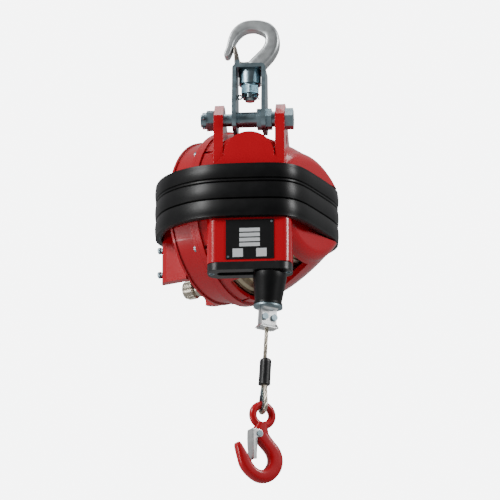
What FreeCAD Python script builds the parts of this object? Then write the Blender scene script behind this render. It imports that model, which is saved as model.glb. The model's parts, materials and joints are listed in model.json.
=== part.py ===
import FreeCAD, Part
import math
import os
import re
import Sketcher
from FreeCAD import Placement, Rotation, Vector

# Spring balancer for hand tools. The origin is the point where the suspension hook bears on its rail.
# +X runs along the cross bolt and the rope slot, -Y is the front with the plate, +Z is up. Millimetres.

SIZES = [
    # Suspension hook and the swivel stack under it
    ("hook_bowl_radius", 19.7, "inner radius of the hook's bowl"),
    ("hook_thick", 20, "flat thickness of the hook"),
    ("hook_crown", 14, "section at the top of the bowl"),
    ("hook_back", 18, "section at the hook's back"),
    ("hook_jaw", 9.5, "section beside the mouth"),
    ("hook_edge", 3, "rounding of the forged edges"),
    ("hook_seat_drop", 48.5, "rail down to the strap's top face"),
    ("lug_reach", 15.6, "gate pivot from the hook's middle"),
    ("lug_radius", 4.6, "radius of the gate lug"),
    ("lug_thick", 12, "thickness of the gate lug"),
    ("shank_diameter", 14, "threaded shank"),
    ("shank_length", 46, "shank below the strap's top face"),
    ("pin_diameter", 4, "rivet of the gate"),
    ("gate_length", 21, "gate from its pivot to its end"),
    ("gate_wide", 5, "gate bar seen from the front"),
    ("gate_cheek", 2, "thickness of a gate cheek"),
    ("run_gap", 0.06, "radial clearance of a pin or shaft that turns"),
    ("face_gap", 0.3, "clearance between faces that turn on each other"),
    ("washer_thick", 2, "washers"),
    ("collar_diameter", 28, "thrust collar"),
    ("collar_tall", 16, "thrust collar's height"),
    ("hook_nut_flats", 21, "castle nut across flats"),
    ("hook_nut_tall", 10.5, "hexagon of the castle nut"),
    ("crown_tall", 5.5, "slotted crown of a castle nut"),
    ("crown_slot", 3.6, "slot in a castle nut's crown"),
    ("split_pin_diameter", 2.8, "split pins"),
    # Strap and cross bolt
    ("strap_thick", 5, "thickness of the strap"),
    ("strap_wide", 42, "outside width of the strap"),
    ("strap_deep", 50, "depth of a strap leg, front to back"),
    ("strap_top_deep", 38, "depth of the strap at its top"),
    ("strap_under", 17, "strap legs below the bolt's axis"),
    ("strap_end_round", 15, "rounding of the strap legs' ends"),
    ("strap_bend", 6, "outside radius of the strap's bends"),
    ("bolt_drop", 118, "rail down to the cross bolt's axis"),
    ("bolt_diameter", 16, "cross bolt"),
    ("bolt_flats", 24, "head and castle nut across flats"),
    ("bolt_head_tall", 10, "head of the cross bolt"),
    ("bolt_nut_tall", 9.5, "hexagon of the cross bolt's nut"),
    ("bolt_tail", 2, "thread beyond the crown"),
    ("spacer_diameter", 19.6, "outside of the spacer tubes"),
    ("spacer_end", 4.2, "short spacer at the right ear"),
    ("jam_flats", 24, "jam nuts across flats"),
    ("jam_tall", 6.8, "height of a jam nut"),
    # Ears and chute of the housing
    ("ear_inner", 65, "distance between the ears' inner faces"),
    ("ear_thick", 12, "thickness of an ear"),
    ("ear_front", 16, "ear's front face from the bolt's axis"),
    ("ear_rise", 20, "top of an ear above the bolt's axis"),
    ("ear_top_deep", 14, "flat top of an ear behind the bolt's axis"),
    ("chain_hole", 13, "safety chain hole through the right ear"),
    ("chain_hole_back", 20, "safety chain hole behind the bolt's axis"),
    ("chain_hole_drop", 21, "safety chain hole below the bolt's axis"),
    ("wall", 5, "wall of the castings"),
    ("chute_wide", 106, "chute, along the slot"),
    ("chute_deep", 38, "chute, front to back"),
    ("chute_round", 12, "rounding of the chute's upright edges"),
    ("chute_bottom", 310, "rail down to the chute's lower end"),
    ("arch_drop", 139, "rail down to the top of the front arch"),
    ("arch_radius", 32, "front arch between the ears"),
    # Drum axis
    ("axis_back", 96, "drum axis centre behind the rope plane"),
    ("axis_left", 25, "drum axis centre left of the bolt's middle"),
    ("axis_drop", 218, "rail down to the drum axis"),
    ("drum_turn", 26, "drum axis from the slot, in plan, degrees"),
    # Cover and case
    ("flange_radius", 112, "flange of the cover and the case"),
    ("cover_flange", 7, "flange thickness on the cover"),
    ("case_flange", 4.5, "flange thickness on the case"),
    ("cover_root_radius", 110, "cover at its flange"),
    ("cover_mid_radius", 98, "cover near half its length"),
    ("cover_nose_radius", 70, "cover where its nose begins"),
    ("cover_length", 110, "cover from the flange face to its nose"),
    ("case_radius", 103, "spring case"),
    ("case_length", 37.5, "spring case behind the flange face"),
    ("case_lip", 3, "lip at the end of the case"),
    ("window_from", 18, "window in the cover, near end"),
    ("window_to", 96, "window in the cover, far end"),
    ("window_front", 25, "window forward of straight down, degrees"),
    ("window_back", 10, "window behind straight down, degrees"),
    # End block with its feet
    ("block_wide", 124, "end block, outside of the feet"),
    ("foot_thick", 11, "thickness of a foot"),
    ("block_end", 78, "end block's outer face from the flange face"),
    ("block_top", 42, "end block above the drum axis"),
    ("block_under", 42, "underside of the closed block below the drum axis"),
    ("foot_drop", 89, "feet below the drum axis"),
    # Rubber band
    ("band_tall", 70, "height of the rubber band"),
    ("band_thick", 8.5, "thickness of the rubber band"),
    ("band_corner", 16, "inner corner radius of the rubber band"),
    ("groove_wide", 3.5, "groove in the rubber band"),
    ("groove_deep", 2.6, "depth of a groove"),
    ("fit_gap", 0.2, "clearance of a fitted cover or plate"),
    # Rope guide
    ("guide_thick", 10, "rope guide"),
    ("slot_wide", 82, "slot in the rope guide"),
    ("slot_deep", 13, "slot, front to back"),
    ("guide_screw_span", 96, "distance between the guide screws"),
    ("screw_diameter", 5, "small screws"),
    ("screw_head", 8.5, "heads of the small screws"),
    ("screw_head_tall", 3, "height of the small screws' heads"),
    ("screw_depth", 12, "thread length of the small screws"),
    # Plate
    ("plate_wide", 60, "plate"),
    ("plate_tall", 51, "plate"),
    ("plate_thick", 0.8, "plate"),
    ("plate_drop", 281.5, "rail down to the plate's middle"),
    ("plate_right", 1.5, "plate's middle right of the slot's middle"),
    ("rivet_diameter", 3, "rivets of the plate"),
    # Drum, shaft and spring
    ("rope_diameter", 5, "wire rope"),
    ("drum_from", 20, "large end of the drum from the flange face"),
    ("drum_to", 98, "small end of the drum"),
    ("drum_wall", 8, "wall of the drum"),
    ("groove_pitch", 12, "rope pitch along the drum"),
    ("rope_seat_gap", 0.3, "clearance of the rope in its groove"),
    ("groove_count", 7, "rope grooves"),
    ("turn_count", 6, "turns of rope on the drum"),
    ("rim_thick", 8, "rim at the drum's large end"),
    ("rim_radius", 100, "rim at the drum's large end"),
    ("shaft_diameter", 20, "drum shaft"),
    ("bearing_diameter", 32, "bearings"),
    ("bearing_wide", 12, "bearings"),
    ("hub_wall", 6, "hubs round the bearings"),
    ("barrel_radius", 93, "spring barrel"),
    ("barrel_wall", 2.5, "spring barrel"),
    ("barrel_from", 31, "barrel's back edge behind the flange face"),
    ("spring_thick", 1.2, "spring strip"),
    ("spring_wide", 26, "spring strip"),
    ("spring_turns", 3, "turns of the spring lying against the barrel"),
    ("spring_pitch", 2, "radial pitch of the wound spring"),
    ("arbor_radius", 18, "arbor that holds the spring's inner end"),
    # Drum lock
    ("lock_drop", 82, "lock below the drum axis"),
    ("lock_pin", 9, "lock pin"),
    ("lock_knob_diameter", 24.6, "lock knob"),
    ("lock_bush_diameter", 17, "threaded bush of the lock"),
    ("lock_bush_length", 14, "bush outside the case"),
    ("lock_knob_length", 22, "lock knob"),
    ("lock_travel", 8, "pull of the lock knob"),
    # Rope end
    ("rest_right", 25, "rope at rest, right of the slot's middle, at the guide's underside"),
    ("rope_lean", 3.4, "lean of the rope end, degrees"),
    ("end_turn", 30, "turn of the rope end about the rope, degrees"),
    ("buffer_clear", 1.7, "buffer below the guide"),
    ("buffer_top_radius", 21, "rubber buffer"),
    ("buffer_waist_radius", 16.7, "rubber buffer"),
    ("buffer_bead_radius", 17.8, "rubber buffer"),
    ("buffer_tall", 41.5, "rubber buffer"),
    ("bead_tall", 4.5, "bead under the buffer"),
    ("buffer_washer_radius", 18.3, "washer under the buffer"),
    ("clamp_wide", 20, "rope clamp"),
    ("clamp_half_thick", 5.6, "half of the rope clamp"),
    ("clamp_tall", 27, "rope clamp"),
    ("clamp_lip", 3, "flared lips of the clamp"),
    ("clamp_slit", 1.2, "slit between the clamp's halves"),
    ("clamp_screw_span", 12.5, "distance between the clamp screws"),
    ("free_rope", 39, "rope between clamp and sleeve"),
    ("sleeve_long", 34, "pressed sleeve"),
    ("sleeve_wide", 14.4, "pressed sleeve, across both ropes"),
    ("sleeve_thick", 11, "pressed sleeve"),
    ("rope_side_gap", 0.4, "clearance between the two ropes in the sleeve"),
    ("eye_bar_radius", 4.1, "bar of the load hook's eye"),
    ("eye_radius", 12.2, "load hook's eye, to the middle of its bar"),
    ("eye_drop", 38.5, "eye's middle below the sleeve"),
    ("eye_room", 0.8, "clearance between the eye's bar and the thimble"),
    ("thimble_thick", 1.2, "thimble"),
    ("thimble_wide", 6.4, "thimble"),
    ("load_hook_thick", 13, "load hook"),
    ("load_hook_edge", 3, "rounding of the load hook"),
    ("load_bowl_drop", 69.1, "eye's middle down to the load hook's seat"),
    ("latch_pin_diameter", 4, "rivet of the latch"),
    ("latch_pin_left", 5.8, "latch rivet left of the eye's middle"),
    ("latch_pin_drop", 25.3, "latch rivet below the eye's middle"),
    ("latch_sheet", 1.4, "sheet of the latch"),
]
ALIASES = {name for name, value, meaning in SIZES}

doc = FreeCAD.newDocument("tool_balancer")
sheet = doc.addObject("Spreadsheet::Sheet", "sizes")
for row, (name, value, meaning) in enumerate(SIZES, start=1):
    sheet.set(f"A{row}", meaning)
    sheet.set(f"B{row}", str(value))
    sheet.setAlias(f"B{row}", name)
doc.recompute()

X_AXIS = Vector(1, 0, 0)
Y_AXIS = Vector(0, 1, 0)
Z_AXIS = Vector(0, 0, 1)
sub_parts = []


def bound(text):
    """A size expression with every size name led by the sheet's name."""
    return re.sub(r"[a-z_]+", lambda m: "sizes." + m[0] if m[0] in ALIASES else m[0], text)


def size(text):
    """The value of a size, or of an expression of sizes."""
    return float(sheet.evalExpression(bound(text)))


def body_plane(body, role):
    return [f for f in body.Origin.OriginFeatures if f.Role == role][0]


def new_body(node, placement=Placement()):
    body = doc.addObject("PartDesign::Body", node)
    body.Label = node
    body.Placement = placement
    sub_parts.append(body)
    return body


def new_sketch(body, role, lift="0"):
    """An empty sketch on one of the body's own planes, lifted along the plane's normal."""
    sketch = body.newObject("Sketcher::SketchObject", body.Name + "_sketch")
    sketch.AttachmentSupport = [(body_plane(body, role), "")]
    sketch.MapMode = "FlatFace"
    sketch.setExpression("AttachmentOffset.Base.z", bound(lift))
    return sketch


def add_outline(sketch, corners):
    """A closed outline of straight lines; each corner is a pair of expressions."""
    first = sketch.GeometryCount
    places = [Vector(size(across), size(up), 0) for across, up in corners]
    count = len(corners)
    for k in range(count):
        sketch.addGeometry(Part.LineSegment(places[k], places[(k + 1) % count]), False)
    for k, (across, up) in enumerate(corners):
        sketch.addConstraint(
            Sketcher.Constraint("Coincident", first + k, 2, first + (k + 1) % count, 1)
        )
        for kind, value, text in (("DistanceX", places[k].x, across), ("DistanceY", places[k].y, up)):
            index = sketch.addConstraint(Sketcher.Constraint(kind, -1, 1, first + k, 1, value))
            sketch.setExpression(f"Constraints[{index}]", bound(text))


def add_circle(sketch, across, up, radius):
    circle = sketch.addGeometry(
        Part.Circle(Vector(size(across), size(up), 0), Z_AXIS, size(radius)), False
    )
    for kind, value, text in (("DistanceX", size(across), across), ("DistanceY", size(up), up)):
        index = sketch.addConstraint(Sketcher.Constraint(kind, -1, 1, circle, 3, value))
        sketch.setExpression(f"Constraints[{index}]", bound(text))
    index = sketch.addConstraint(Sketcher.Constraint("Radius", circle, size(radius)))
    sketch.setExpression(f"Constraints[{index}]", bound(radius))


def add_feature(body, kind, sketch, **settings):
    feature = body.newObject("PartDesign::" + kind, body.Name + "_" + kind.lower())
    feature.Profile = sketch
    for name, value in settings.items():
        if isinstance(value, str) and name in ("Length", "Angle"):
            feature.setExpression(name, bound(value))
        else:
            setattr(feature, name, value)
    sketch.Visibility = False
    return feature


def pad(body, sketch, length, **settings):
    return add_feature(body, "Pad", sketch, Length=length, **settings)


def cut_through(body, sketch):
    """A pocket that runs both ways through the whole body."""
    return add_feature(body, "Pocket", sketch, Type=1, Midplane=True)


def round_edges(body, name, radius, wanted):
    """A fillet along the body's edges that pass the test."""
    doc.recompute()
    base = body.Tip
    names = [f"Edge{k + 1}" for k, edge in enumerate(body.Shape.Edges) if wanted(edge)]
    fillet = body.newObject("PartDesign::Fillet", name)
    fillet.Base = (base, names)
    fillet.setExpression("Radius", bound(radius))


def revolve(body, sketch, axis):
    """axis is H_Axis or V_Axis of the sketch."""
    return add_feature(body, "Revolution", sketch, ReferenceAxis=(sketch, [axis]), Angle=360.0)


def turned(node, axis, outlines, placement=Placement()):
    """A turned piece: closed outlines in the body's XZ plane, spun about X (H_Axis) or Z (V_Axis)."""
    body = new_body(node, placement)
    sketch = new_sketch(body, "XZ_Plane")
    for corners in outlines:
        add_outline(sketch, corners)
    revolve(body, sketch, axis)
    return body


def shaped(node, shape, placement=Placement()):
    """A piece whose shape no feature fits; its sizes are read from the sheet."""
    feature = doc.addObject("Part::Feature", node)
    feature.Label = node
    feature.Shape = shape
    feature.Placement = placement.multiply(shape.Placement)
    sub_parts.append(feature)
    return feature


def hexagon(flats):
    """Corners of a hexagon across its flats, two of them level."""
    return [
        (f"{flats} / 2 / cos(30) * cos({60 * k})", f"{flats} / 2 / cos(30) * sin({60 * k})")
        for k in range(6)
    ]


def bar(start, end, radius):
    run = end - start
    return Part.makeCylinder(radius, run.Length, start, run)


def arc_edge(start, middle, end):
    return Part.Arc(start, middle, end).toShape()


def plate_solid(wire, run):
    return Part.Face(wire).extrude(run)


def front(x, z, y=0.0):
    return Vector(x, y, z)


def rounded(shape, radius, wanted):
    """The shape with every edge that passes the test rounded."""
    return shape.makeFillet(radius, [edge for edge in shape.Edges if wanted(edge)])


def one_solid(shape):
    clean = shape.removeSplitter()
    return clean.Solids[0] if len(clean.Solids) == 1 else clean


# Swivel stack, from the strap's top face down
STRAP_TOP = "-hook_seat_drop"
WASHER_TOP = f"({STRAP_TOP} - strap_thick - 2 * face_gap)"
COLLAR_TOP = f"({WASHER_TOP} - washer_thick)"
NUT_WASHER_TOP = f"({COLLAR_TOP} - collar_tall)"
HOOK_NUT_TOP = f"({NUT_WASHER_TOP} - washer_thick)"
HOOK_PIN_Z = f"({HOOK_NUT_TOP} - hook_nut_tall - crown_tall * 0.55)"


def make_suspension_hook():
    """Forged inverted hook: flat sided bowl, beak at the left, gate lug and shank."""
    bowl = size("hook_bowl_radius")
    jaw = size("hook_jaw")
    seat = size(STRAP_TOP)
    lug = front(-size("lug_reach"), seat + size("lug_radius"))
    lug_r = size("lug_radius")
    shank_r = size("shank_diameter / 2")
    thick = size("hook_thick")
    left = front(-bowl, -bowl)
    right = front(bowl, -bowl)
    inside = [
        arc_edge(left, front(0, 0), right),
    ]
    throat = Part.BSplineCurve()
    lug_start = front(lug.x + lug_r * 0.8, lug.z + lug_r * 0.6)
    throat.interpolate([right, front(0.87 * bowl, -1.6 * bowl), front(0.41 * bowl, seat + 8),
                        front(-0.3 * bowl, seat + 6.2), lug_start])
    outside = Part.BSplineCurve()
    outside.interpolate([
        front(shank_r + 11, seat),
        front(bowl + size("hook_back") - 5, -1.55 * bowl),
        front(bowl + size("hook_back"), -0.75 * bowl),
        front(0.72 * bowl + 10, 0.3 * bowl),
        front(0.1 * bowl, size("hook_crown")),
        front(-0.78 * bowl - jaw * 0.6, 0.12 * bowl),
        front(-bowl - jaw, -0.75 * bowl),
        front(-bowl - jaw - 4, -1.72 * bowl),
    ])
    tip = front(-bowl - jaw + 2.2, -1.9 * bowl)
    beak = Part.BSplineCurve()
    beak.interpolate([tip, front(-bowl - 4.6, -1.4 * bowl), left])
    edges = [
        outside.toShape(),
        Part.makeLine(outside.EndPoint, tip),
        beak.toShape(),
        inside[0],
        throat.toShape(),
        arc_edge(lug_start, front(lug.x - lug_r, lug.z), front(lug.x, lug.z - lug_r)),
        Part.makeLine(front(lug.x, seat), outside.StartPoint),
    ]
    wire = Part.Wire(Part.__sortEdges__(edges))
    hook = plate_solid(wire, Y_AXIS * thick)
    hook.translate(Y_AXIS * (-thick / 2))
    hook = hook.makeChamfer(size("hook_edge"), [
        e for e in hook.Edges
        if e.BoundBox.YLength < 0.01 and e.BoundBox.ZMin > seat + 2 * lug_r and e.Length > 20
    ])
    for side in (-1, 1):
        cheek_room = Part.makeCylinder(lug_r * 2.1, thick, Vector(lug.x, 0, lug.z), Y_AXIS)
        cheek_room.translate(Y_AXIS * (size("lug_thick") / 2 if side > 0 else -size("lug_thick") / 2 - thick))
        hook = hook.cut(cheek_room)
    shank = bar(front(0, seat + 6), front(0, seat - size("shank_length")), shank_r)
    hook = hook.fuse(shank)
    pin_hole = Part.makeCylinder(size("pin_diameter / 2"), thick, Vector(lug.x, -thick / 2, lug.z), Y_AXIS)
    split_z = size(HOOK_PIN_Z)
    split_hole = bar(front(-shank_r * 2, split_z), front(shank_r * 2, split_z), size("split_pin_diameter / 2"))
    hook = hook.cut(pin_hole).cut(split_hole)
    shaped("suspension_hook", one_solid(hook))


def make_gate():
    """Forked gate bar on its rivet, closing the mouth against the beak's inside."""
    seat = size(STRAP_TOP)
    pivot = Vector(-size("lug_reach"), 0, seat + size("lug_radius"))
    gap = size("face_gap")
    inner = size("lug_thick") / 2 + gap
    outer = inner + size("gate_cheek")
    half = size("gate_wide") / 2
    eye = Part.makeCylinder(size("lug_radius"), 2 * outer, Vector(0, -outer, 0), Y_AXIS)
    stem = Part.makeBox(2 * half, 2 * outer, size("gate_length"), Vector(-half, -outer, 0))
    gate = eye.fuse(stem)
    slot = Part.makeBox(40, 2 * inner, size("lug_radius") * 2 + 2 * gap + 6,
                        Vector(-20, -inner, -size("lug_radius") - 6 + gap))
    gate = gate.cut(slot)
    bore = Part.makeCylinder(size("pin_diameter / 2 + run_gap"), 4 * outer, Vector(0, -2 * outer, 0), Y_AXIS)
    gate = one_solid(gate.cut(bore))
    lean = math.degrees(math.atan2(4.2, size("gate_length")))
    shaped("hook_gate", gate, Placement(pivot, Rotation(Y_AXIS, -lean)))
    pin_r = size("pin_diameter / 2")
    head = outer + gap
    pin = Part.makeCylinder(pin_r, 2 * head, Vector(0, -head, 0), Y_AXIS)
    for start in (-head - 1.2, head):
        pin = pin.fuse(Part.makeCylinder(pin_r * 1.7, 1.2, Vector(0, start, 0), Y_AXIS))
    shaped("gate_pin", one_solid(pin), Placement(pivot, Rotation()))


def make_ring(node, inner, outer, top, tall):
    """A washer or collar about the shank."""
    turned(node, "V_Axis", [[
        (inner, top), (outer, top), (outer, f"{top} - {tall}"), (inner, f"{top} - {tall}"),
    ]])


def make_castle_nut(node, bore, flats, tall, placement):
    """Hexagon with a slotted crown. The nut's axis is the body's Z, crown up."""
    body = new_body(node, placement)
    sketch = new_sketch(body, "XY_Plane")
    add_outline(sketch, hexagon(flats))
    add_circle(sketch, "0", "0", bore)
    pad(body, sketch, tall)
    crown = new_sketch(body, "XY_Plane", tall)
    add_circle(crown, "0", "0", f"{flats} * 0.44")
    add_circle(crown, "0", "0", bore)
    pad(body, crown, "crown_tall")
    slots = new_sketch(body, "XZ_Plane")
    add_outline(slots, [
        ("-crown_slot / 2", f"{tall} + crown_tall * 0.2"),
        ("crown_slot / 2", f"{tall} + crown_tall * 0.2"),
        ("crown_slot / 2", f"{tall} + crown_tall + 1"),
        ("-crown_slot / 2", f"{tall} + crown_tall + 1"),
    ])
    slot = cut_through(body, slots)
    turns = body.newObject("PartDesign::PolarPattern", node + "_slots")
    turns.Originals = [slot]
    turns.Axis = (body_plane(body, "Z_Axis"), [""])
    turns.Angle = 360
    turns.Occurrences = 6
    body.Tip = turns
    return body


def make_split_pin(node, half_span, placement):
    """Split pin along the body's X: ring at the left end, two bent tails at the right end."""
    r = size("split_pin_diameter / 2") - 0.1
    ring_r = 2.6 * r
    pin = bar(front(-half_span, 0), front(half_span, 0), r)
    ring = Part.makeCylinder(ring_r, 1.4 * r, front(-half_span - ring_r + r, 0, -0.7 * r), Y_AXIS)
    pin = pin.fuse(ring).cut(Part.makeCylinder(ring_r / 2, 4 * r, front(-half_span - ring_r + r, 0, -2 * r), Y_AXIS))
    for side in (-1, 1):
        tail = Part.makeBox(3.6, r, 0.9 * r, Vector(half_span - 0.9, -r / 2, -0.45 * r))
        tail.rotate(front(half_span - 0.9, 0), Y_AXIS, -side * 55)
        tail.translate(Z_AXIS * side * 0.45 * r)
        pin = pin.fuse(tail)
    shaped(node, one_solid(pin), placement)


def make_swivel_stack():
    shank = "shank_diameter / 2"
    make_ring("thrust_washer", shank, "collar_diameter / 2 + 0.7", WASHER_TOP, "washer_thick")
    make_ring("thrust_collar", shank, "collar_diameter / 2", COLLAR_TOP, "collar_tall")
    make_ring("nut_washer", shank, "shank_diameter / 2 + 4.5", NUT_WASHER_TOP, "washer_thick")
    make_castle_nut("hook_nut", shank, "hook_nut_flats", "hook_nut_tall",
                    Placement(Vector(0, 0, size(HOOK_NUT_TOP)), Rotation(X_AXIS, 180) * Rotation(Z_AXIS, 90)))
    split_z = size(HOOK_PIN_Z)
    make_split_pin("hook_split_pin", size("hook_nut_flats / 2"), Placement(Vector(0, 0, split_z), Rotation()))


def make_strap():
    """Bent U strap: legs narrower at the top, with rounded ends, and holes for shank and bolt."""
    body = new_body("suspension_bracket")
    sketch = new_sketch(body, "XZ_Plane")
    out, inn = "strap_wide / 2", "(strap_wide / 2 - strap_thick)"
    low = "(-bolt_drop - strap_under)"
    top = f"({STRAP_TOP} - face_gap)"
    add_outline(sketch, [
        ("-" + out, low), ("-" + inn, low), ("-" + inn, f"{top} - strap_thick"),
        (inn, f"{top} - strap_thick"), (inn, low), (out, low), (out, top), ("-" + out, top),
    ])
    pad(body, sketch, "strap_deep", Midplane=True)
    under_top = size(f"{top} - strap_thick") - 0.01
    for name, radius, reach in (("outer_bends", "strap_bend", out),
                                ("inner_bends", "strap_bend - strap_thick", inn)):
        round_edges(body, name, radius, lambda e: abs(abs(e.CenterOfMass.x) - size(reach)) < 0.01
                    and e.BoundBox.YLength > 1 and e.CenterOfMass.z > under_top)
    sides = new_sketch(body, "YZ_Plane")
    for side in ("-", ""):
        add_outline(sides, [
            (f"{side}(strap_deep / 2 + 1)", f"{top} + 1"),
            (f"{side}(strap_top_deep / 2)", f"{top} + 1"),
            (f"{side}(strap_top_deep / 2)", f"{top} - strap_thick"),
            (f"{side}(strap_deep / 2)", "-bolt_drop + strap_deep / 3"),
            (f"{side}(strap_deep / 2 + 1)", "-bolt_drop + strap_deep / 3"),
        ])
    cut_through(body, sides)
    hole = new_sketch(body, "XY_Plane")
    add_circle(hole, "0", "0", "shank_diameter / 2 + run_gap")
    cut_through(body, hole)
    bolt_hole = new_sketch(body, "YZ_Plane")
    add_circle(bolt_hole, "0", "-bolt_drop", "bolt_diameter / 2")
    cut_through(body, bolt_hole)
    round_edges(body, "leg_ends", "strap_end_round", lambda e: e.BoundBox.XLength > 1
                and abs(e.CenterOfMass.z - size(low)) < 0.01 and abs(e.CenterOfMass.y) > 1)


EAR_OUT = "(ear_inner / 2 + ear_thick)"
LEG_IN = "(strap_wide / 2 - strap_thick)"
LEG_OUT = "(strap_wide / 2)"


def make_cross_bolt():
    """Bolt head at the right, spacer and jam nuts on the strap, castle nut at the left."""
    at_bolt = Placement(Vector(0, 0, -size("bolt_drop")), Rotation())
    nut_start = f"({EAR_OUT} + face_gap)"
    tail = f"({nut_start} + bolt_nut_tall + crown_tall + bolt_tail)"
    bolt = new_body("cross_bolt", at_bolt)
    head = new_sketch(bolt, "YZ_Plane", nut_start)
    add_outline(head, hexagon("bolt_flats"))
    pad(bolt, head, "bolt_head_tall")
    shaft = new_sketch(bolt, "YZ_Plane", "-" + tail)
    add_circle(shaft, "0", "0", "bolt_diameter / 2")
    pad(bolt, shaft, f"{tail} + {nut_start} + 1")
    pin_x = f"(-{nut_start} - bolt_nut_tall - crown_tall * 0.55)"
    pin_hole = new_sketch(bolt, "XZ_Plane")
    add_circle(pin_hole, pin_x, "0", "split_pin_diameter / 2")
    cut_through(bolt, pin_hole)
    spacers = []
    for start, end in (("-" + LEG_IN, f"{LEG_IN} - jam_tall"),
                       ("ear_inner / 2 - face_gap - spacer_end", "ear_inner / 2 - face_gap")):
        tube = bar(X_AXIS * size(start), X_AXIS * size(end), size("spacer_diameter / 2"))
        spacers.append(tube.cut(bar(X_AXIS * -99, X_AXIS * 99, size("bolt_diameter / 2"))))
    shaped("spacer_tube", Part.makeCompound(spacers), at_bolt)
    nuts = []
    for start in (f"{LEG_IN} - jam_tall", LEG_OUT):
        corners = [Vector(size(start), size(a), size(b)) for a, b in hexagon("jam_flats")]
        block = plate_solid(Part.makePolygon(corners + corners[:1]), X_AXIS * size("jam_tall"))
        nuts.append(block.cut(bar(Vector(-99, 0, 0), Vector(99, 0, 0), size("bolt_diameter / 2"))))
    shaped("jam_nuts", Part.makeCompound([one_solid(nut) for nut in nuts]), at_bolt)
    make_castle_nut("cross_bolt_nut", "bolt_diameter / 2", "bolt_flats", "bolt_nut_tall", Placement(
        Vector(-size(nut_start), 0, -size("bolt_drop")), Rotation(Y_AXIS, -90)))
    make_split_pin("cross_bolt_split_pin", size("bolt_flats / 2"), Placement(
        Vector(size(pin_x), 0, -size("bolt_drop")), Rotation(Z_AXIS, 90)))


# Drum frame: X along the drum axis towards the nose, Y to the rear, origin on the flange face
DRUM_FRAME = Placement(
    Vector(-size("axis_left"), size("axis_back"), -size("axis_drop")), Rotation(Z_AXIS, -size("drum_turn")))


def along(s, r):
    """A point of a turned outline: s along the drum axis, r from it."""
    return Vector(s, 0, r)


def spun(points):
    """A solid of revolution about the drum axis from an outline of points and curves."""
    edges = []
    for first, second in zip(points, points[1:] + points[:1]):
        edges.append(Part.makeLine(first, second))
    return Part.Face(Part.Wire(edges)).revolve(Vector(), X_AXIS, 360)


def cover_outline(offset):
    """Turned outline of the cover, moved inwards by an offset: one long arc, a tight one and a flat nose."""
    length = size("cover_length")
    root = size("cover_root_radius") - offset
    shoulder = along(length - 11 - offset / 2, size("cover_nose_radius") - offset)
    nose = along(length - offset, size("cover_nose_radius") - offset - 14)
    edges = [
        Part.makeLine(along(0, 0), along(0, root)),
        arc_edge(along(0, root), along(length * 0.46, size("cover_mid_radius") - offset), shoulder),
        arc_edge(shoulder, along(length - offset - 3, size("cover_nose_radius") - offset - 6), nose),
        Part.makeLine(nose, along(length - offset, 0)),
        Part.makeLine(along(length - offset, 0), along(0, 0)),
    ]
    return Part.Face(Part.Wire(edges)).revolve(Vector(), X_AXIS, 360)


def cavity_outline():
    """Room inside the cover: two cones just inside its wall."""
    wall = size("wall")
    end = size("cover_length") - wall
    middle = 0.46 * size("cover_length")
    return spun([
        along(-1, 0), along(-1, size("cover_root_radius") - wall - 0.5),
        along(middle * 0.45, size("cover_root_radius") - wall - 3.5),
        along(middle, size("cover_mid_radius") - wall - 0.8),
        along(end - 8, size("cover_nose_radius") - wall - 0.5), along(end, size("cover_nose_radius") - 18),
        along(end, 0),
    ])


def in_row(shape):
    """A shape built in the drum frame, moved into the row frame."""
    moved = shape.copy()
    moved.Placement = DRUM_FRAME.multiply(moved.Placement)
    return moved


def chute_block(wide, deep, top, bottom, corner):
    block = Part.makeBox(wide, deep, top - bottom, Vector(-wide / 2, -deep / 2, bottom))
    return rounded(block, corner, lambda e: e.BoundBox.ZLength > 1 and e.BoundBox.XLength < 0.01)


def band_plan():
    """Corners of the body's outline in plan at the drum axis, where the rubber band lies."""
    def drum_point(s, rearward):
        return DRUM_FRAME.multVec(Vector(s, rearward, 0))
    chute_x = size("chute_wide / 2")
    chute_y = -size("chute_deep / 2")
    flange = size("flange_radius") + 2
    rim = size("case_radius") + 3.5
    case_end = -size("case_length")
    end = -size("block_end") - 1
    half_block = size("block_wide / 2") + 1
    nose = size("cover_length")
    nose_r = size("cover_nose_radius")
    corners = [
        Vector(chute_x, chute_y, 0),
        drum_point(nose + 1.5, nose_r - 16),
        drum_point(nose - 5, nose_r),
        drum_point(0.62 * nose, size("cover_mid_radius") - 5.5),
        drum_point(size("cover_flange / 2"), flange),
        drum_point(case_end, rim),
        drum_point(end, half_block),
        drum_point(end, -half_block),
        drum_point(case_end, -rim),
        drum_point(0, -flange),
        Vector(-chute_x, chute_y, 0),
    ]
    return [Vector(c.x, c.y, 0) for c in corners]


def offset_loop(corners, distance, corner_radius):
    """A closed wire round convex corners, moved outwards, each corner an arc."""
    count = len(corners)
    moved = []
    for k in range(count):
        before = (corners[k] - corners[k - 1]).normalize()
        after = (corners[(k + 1) % count] - corners[k]).normalize()
        out_before = Vector(before.y, -before.x, 0)
        out_after = Vector(after.y, -after.x, 0)
        half = (out_before + out_after).normalize()
        moved.append((corners[k] + half * (distance / half.dot(out_after)), before, after))
    edges = []
    arcs = []
    for corner, before, after in moved:
        turn = math.acos(max(-1.0, min(1.0, before.dot(after))))
        radius = corner_radius + distance
        back = radius * math.tan(turn / 2)
        start = corner - before * back
        end = corner + after * back
        inward = (after - before).normalize()
        middle = corner + inward * (radius / math.cos(turn / 2) - radius)
        arcs.append((start, middle, end))
    for k in range(count):
        edges.append(arc_edge(*arcs[k]))
        edges.append(Part.makeLine(arcs[k][2], arcs[(k + 1) % count][0]))
    return Part.Wire(edges)


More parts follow.
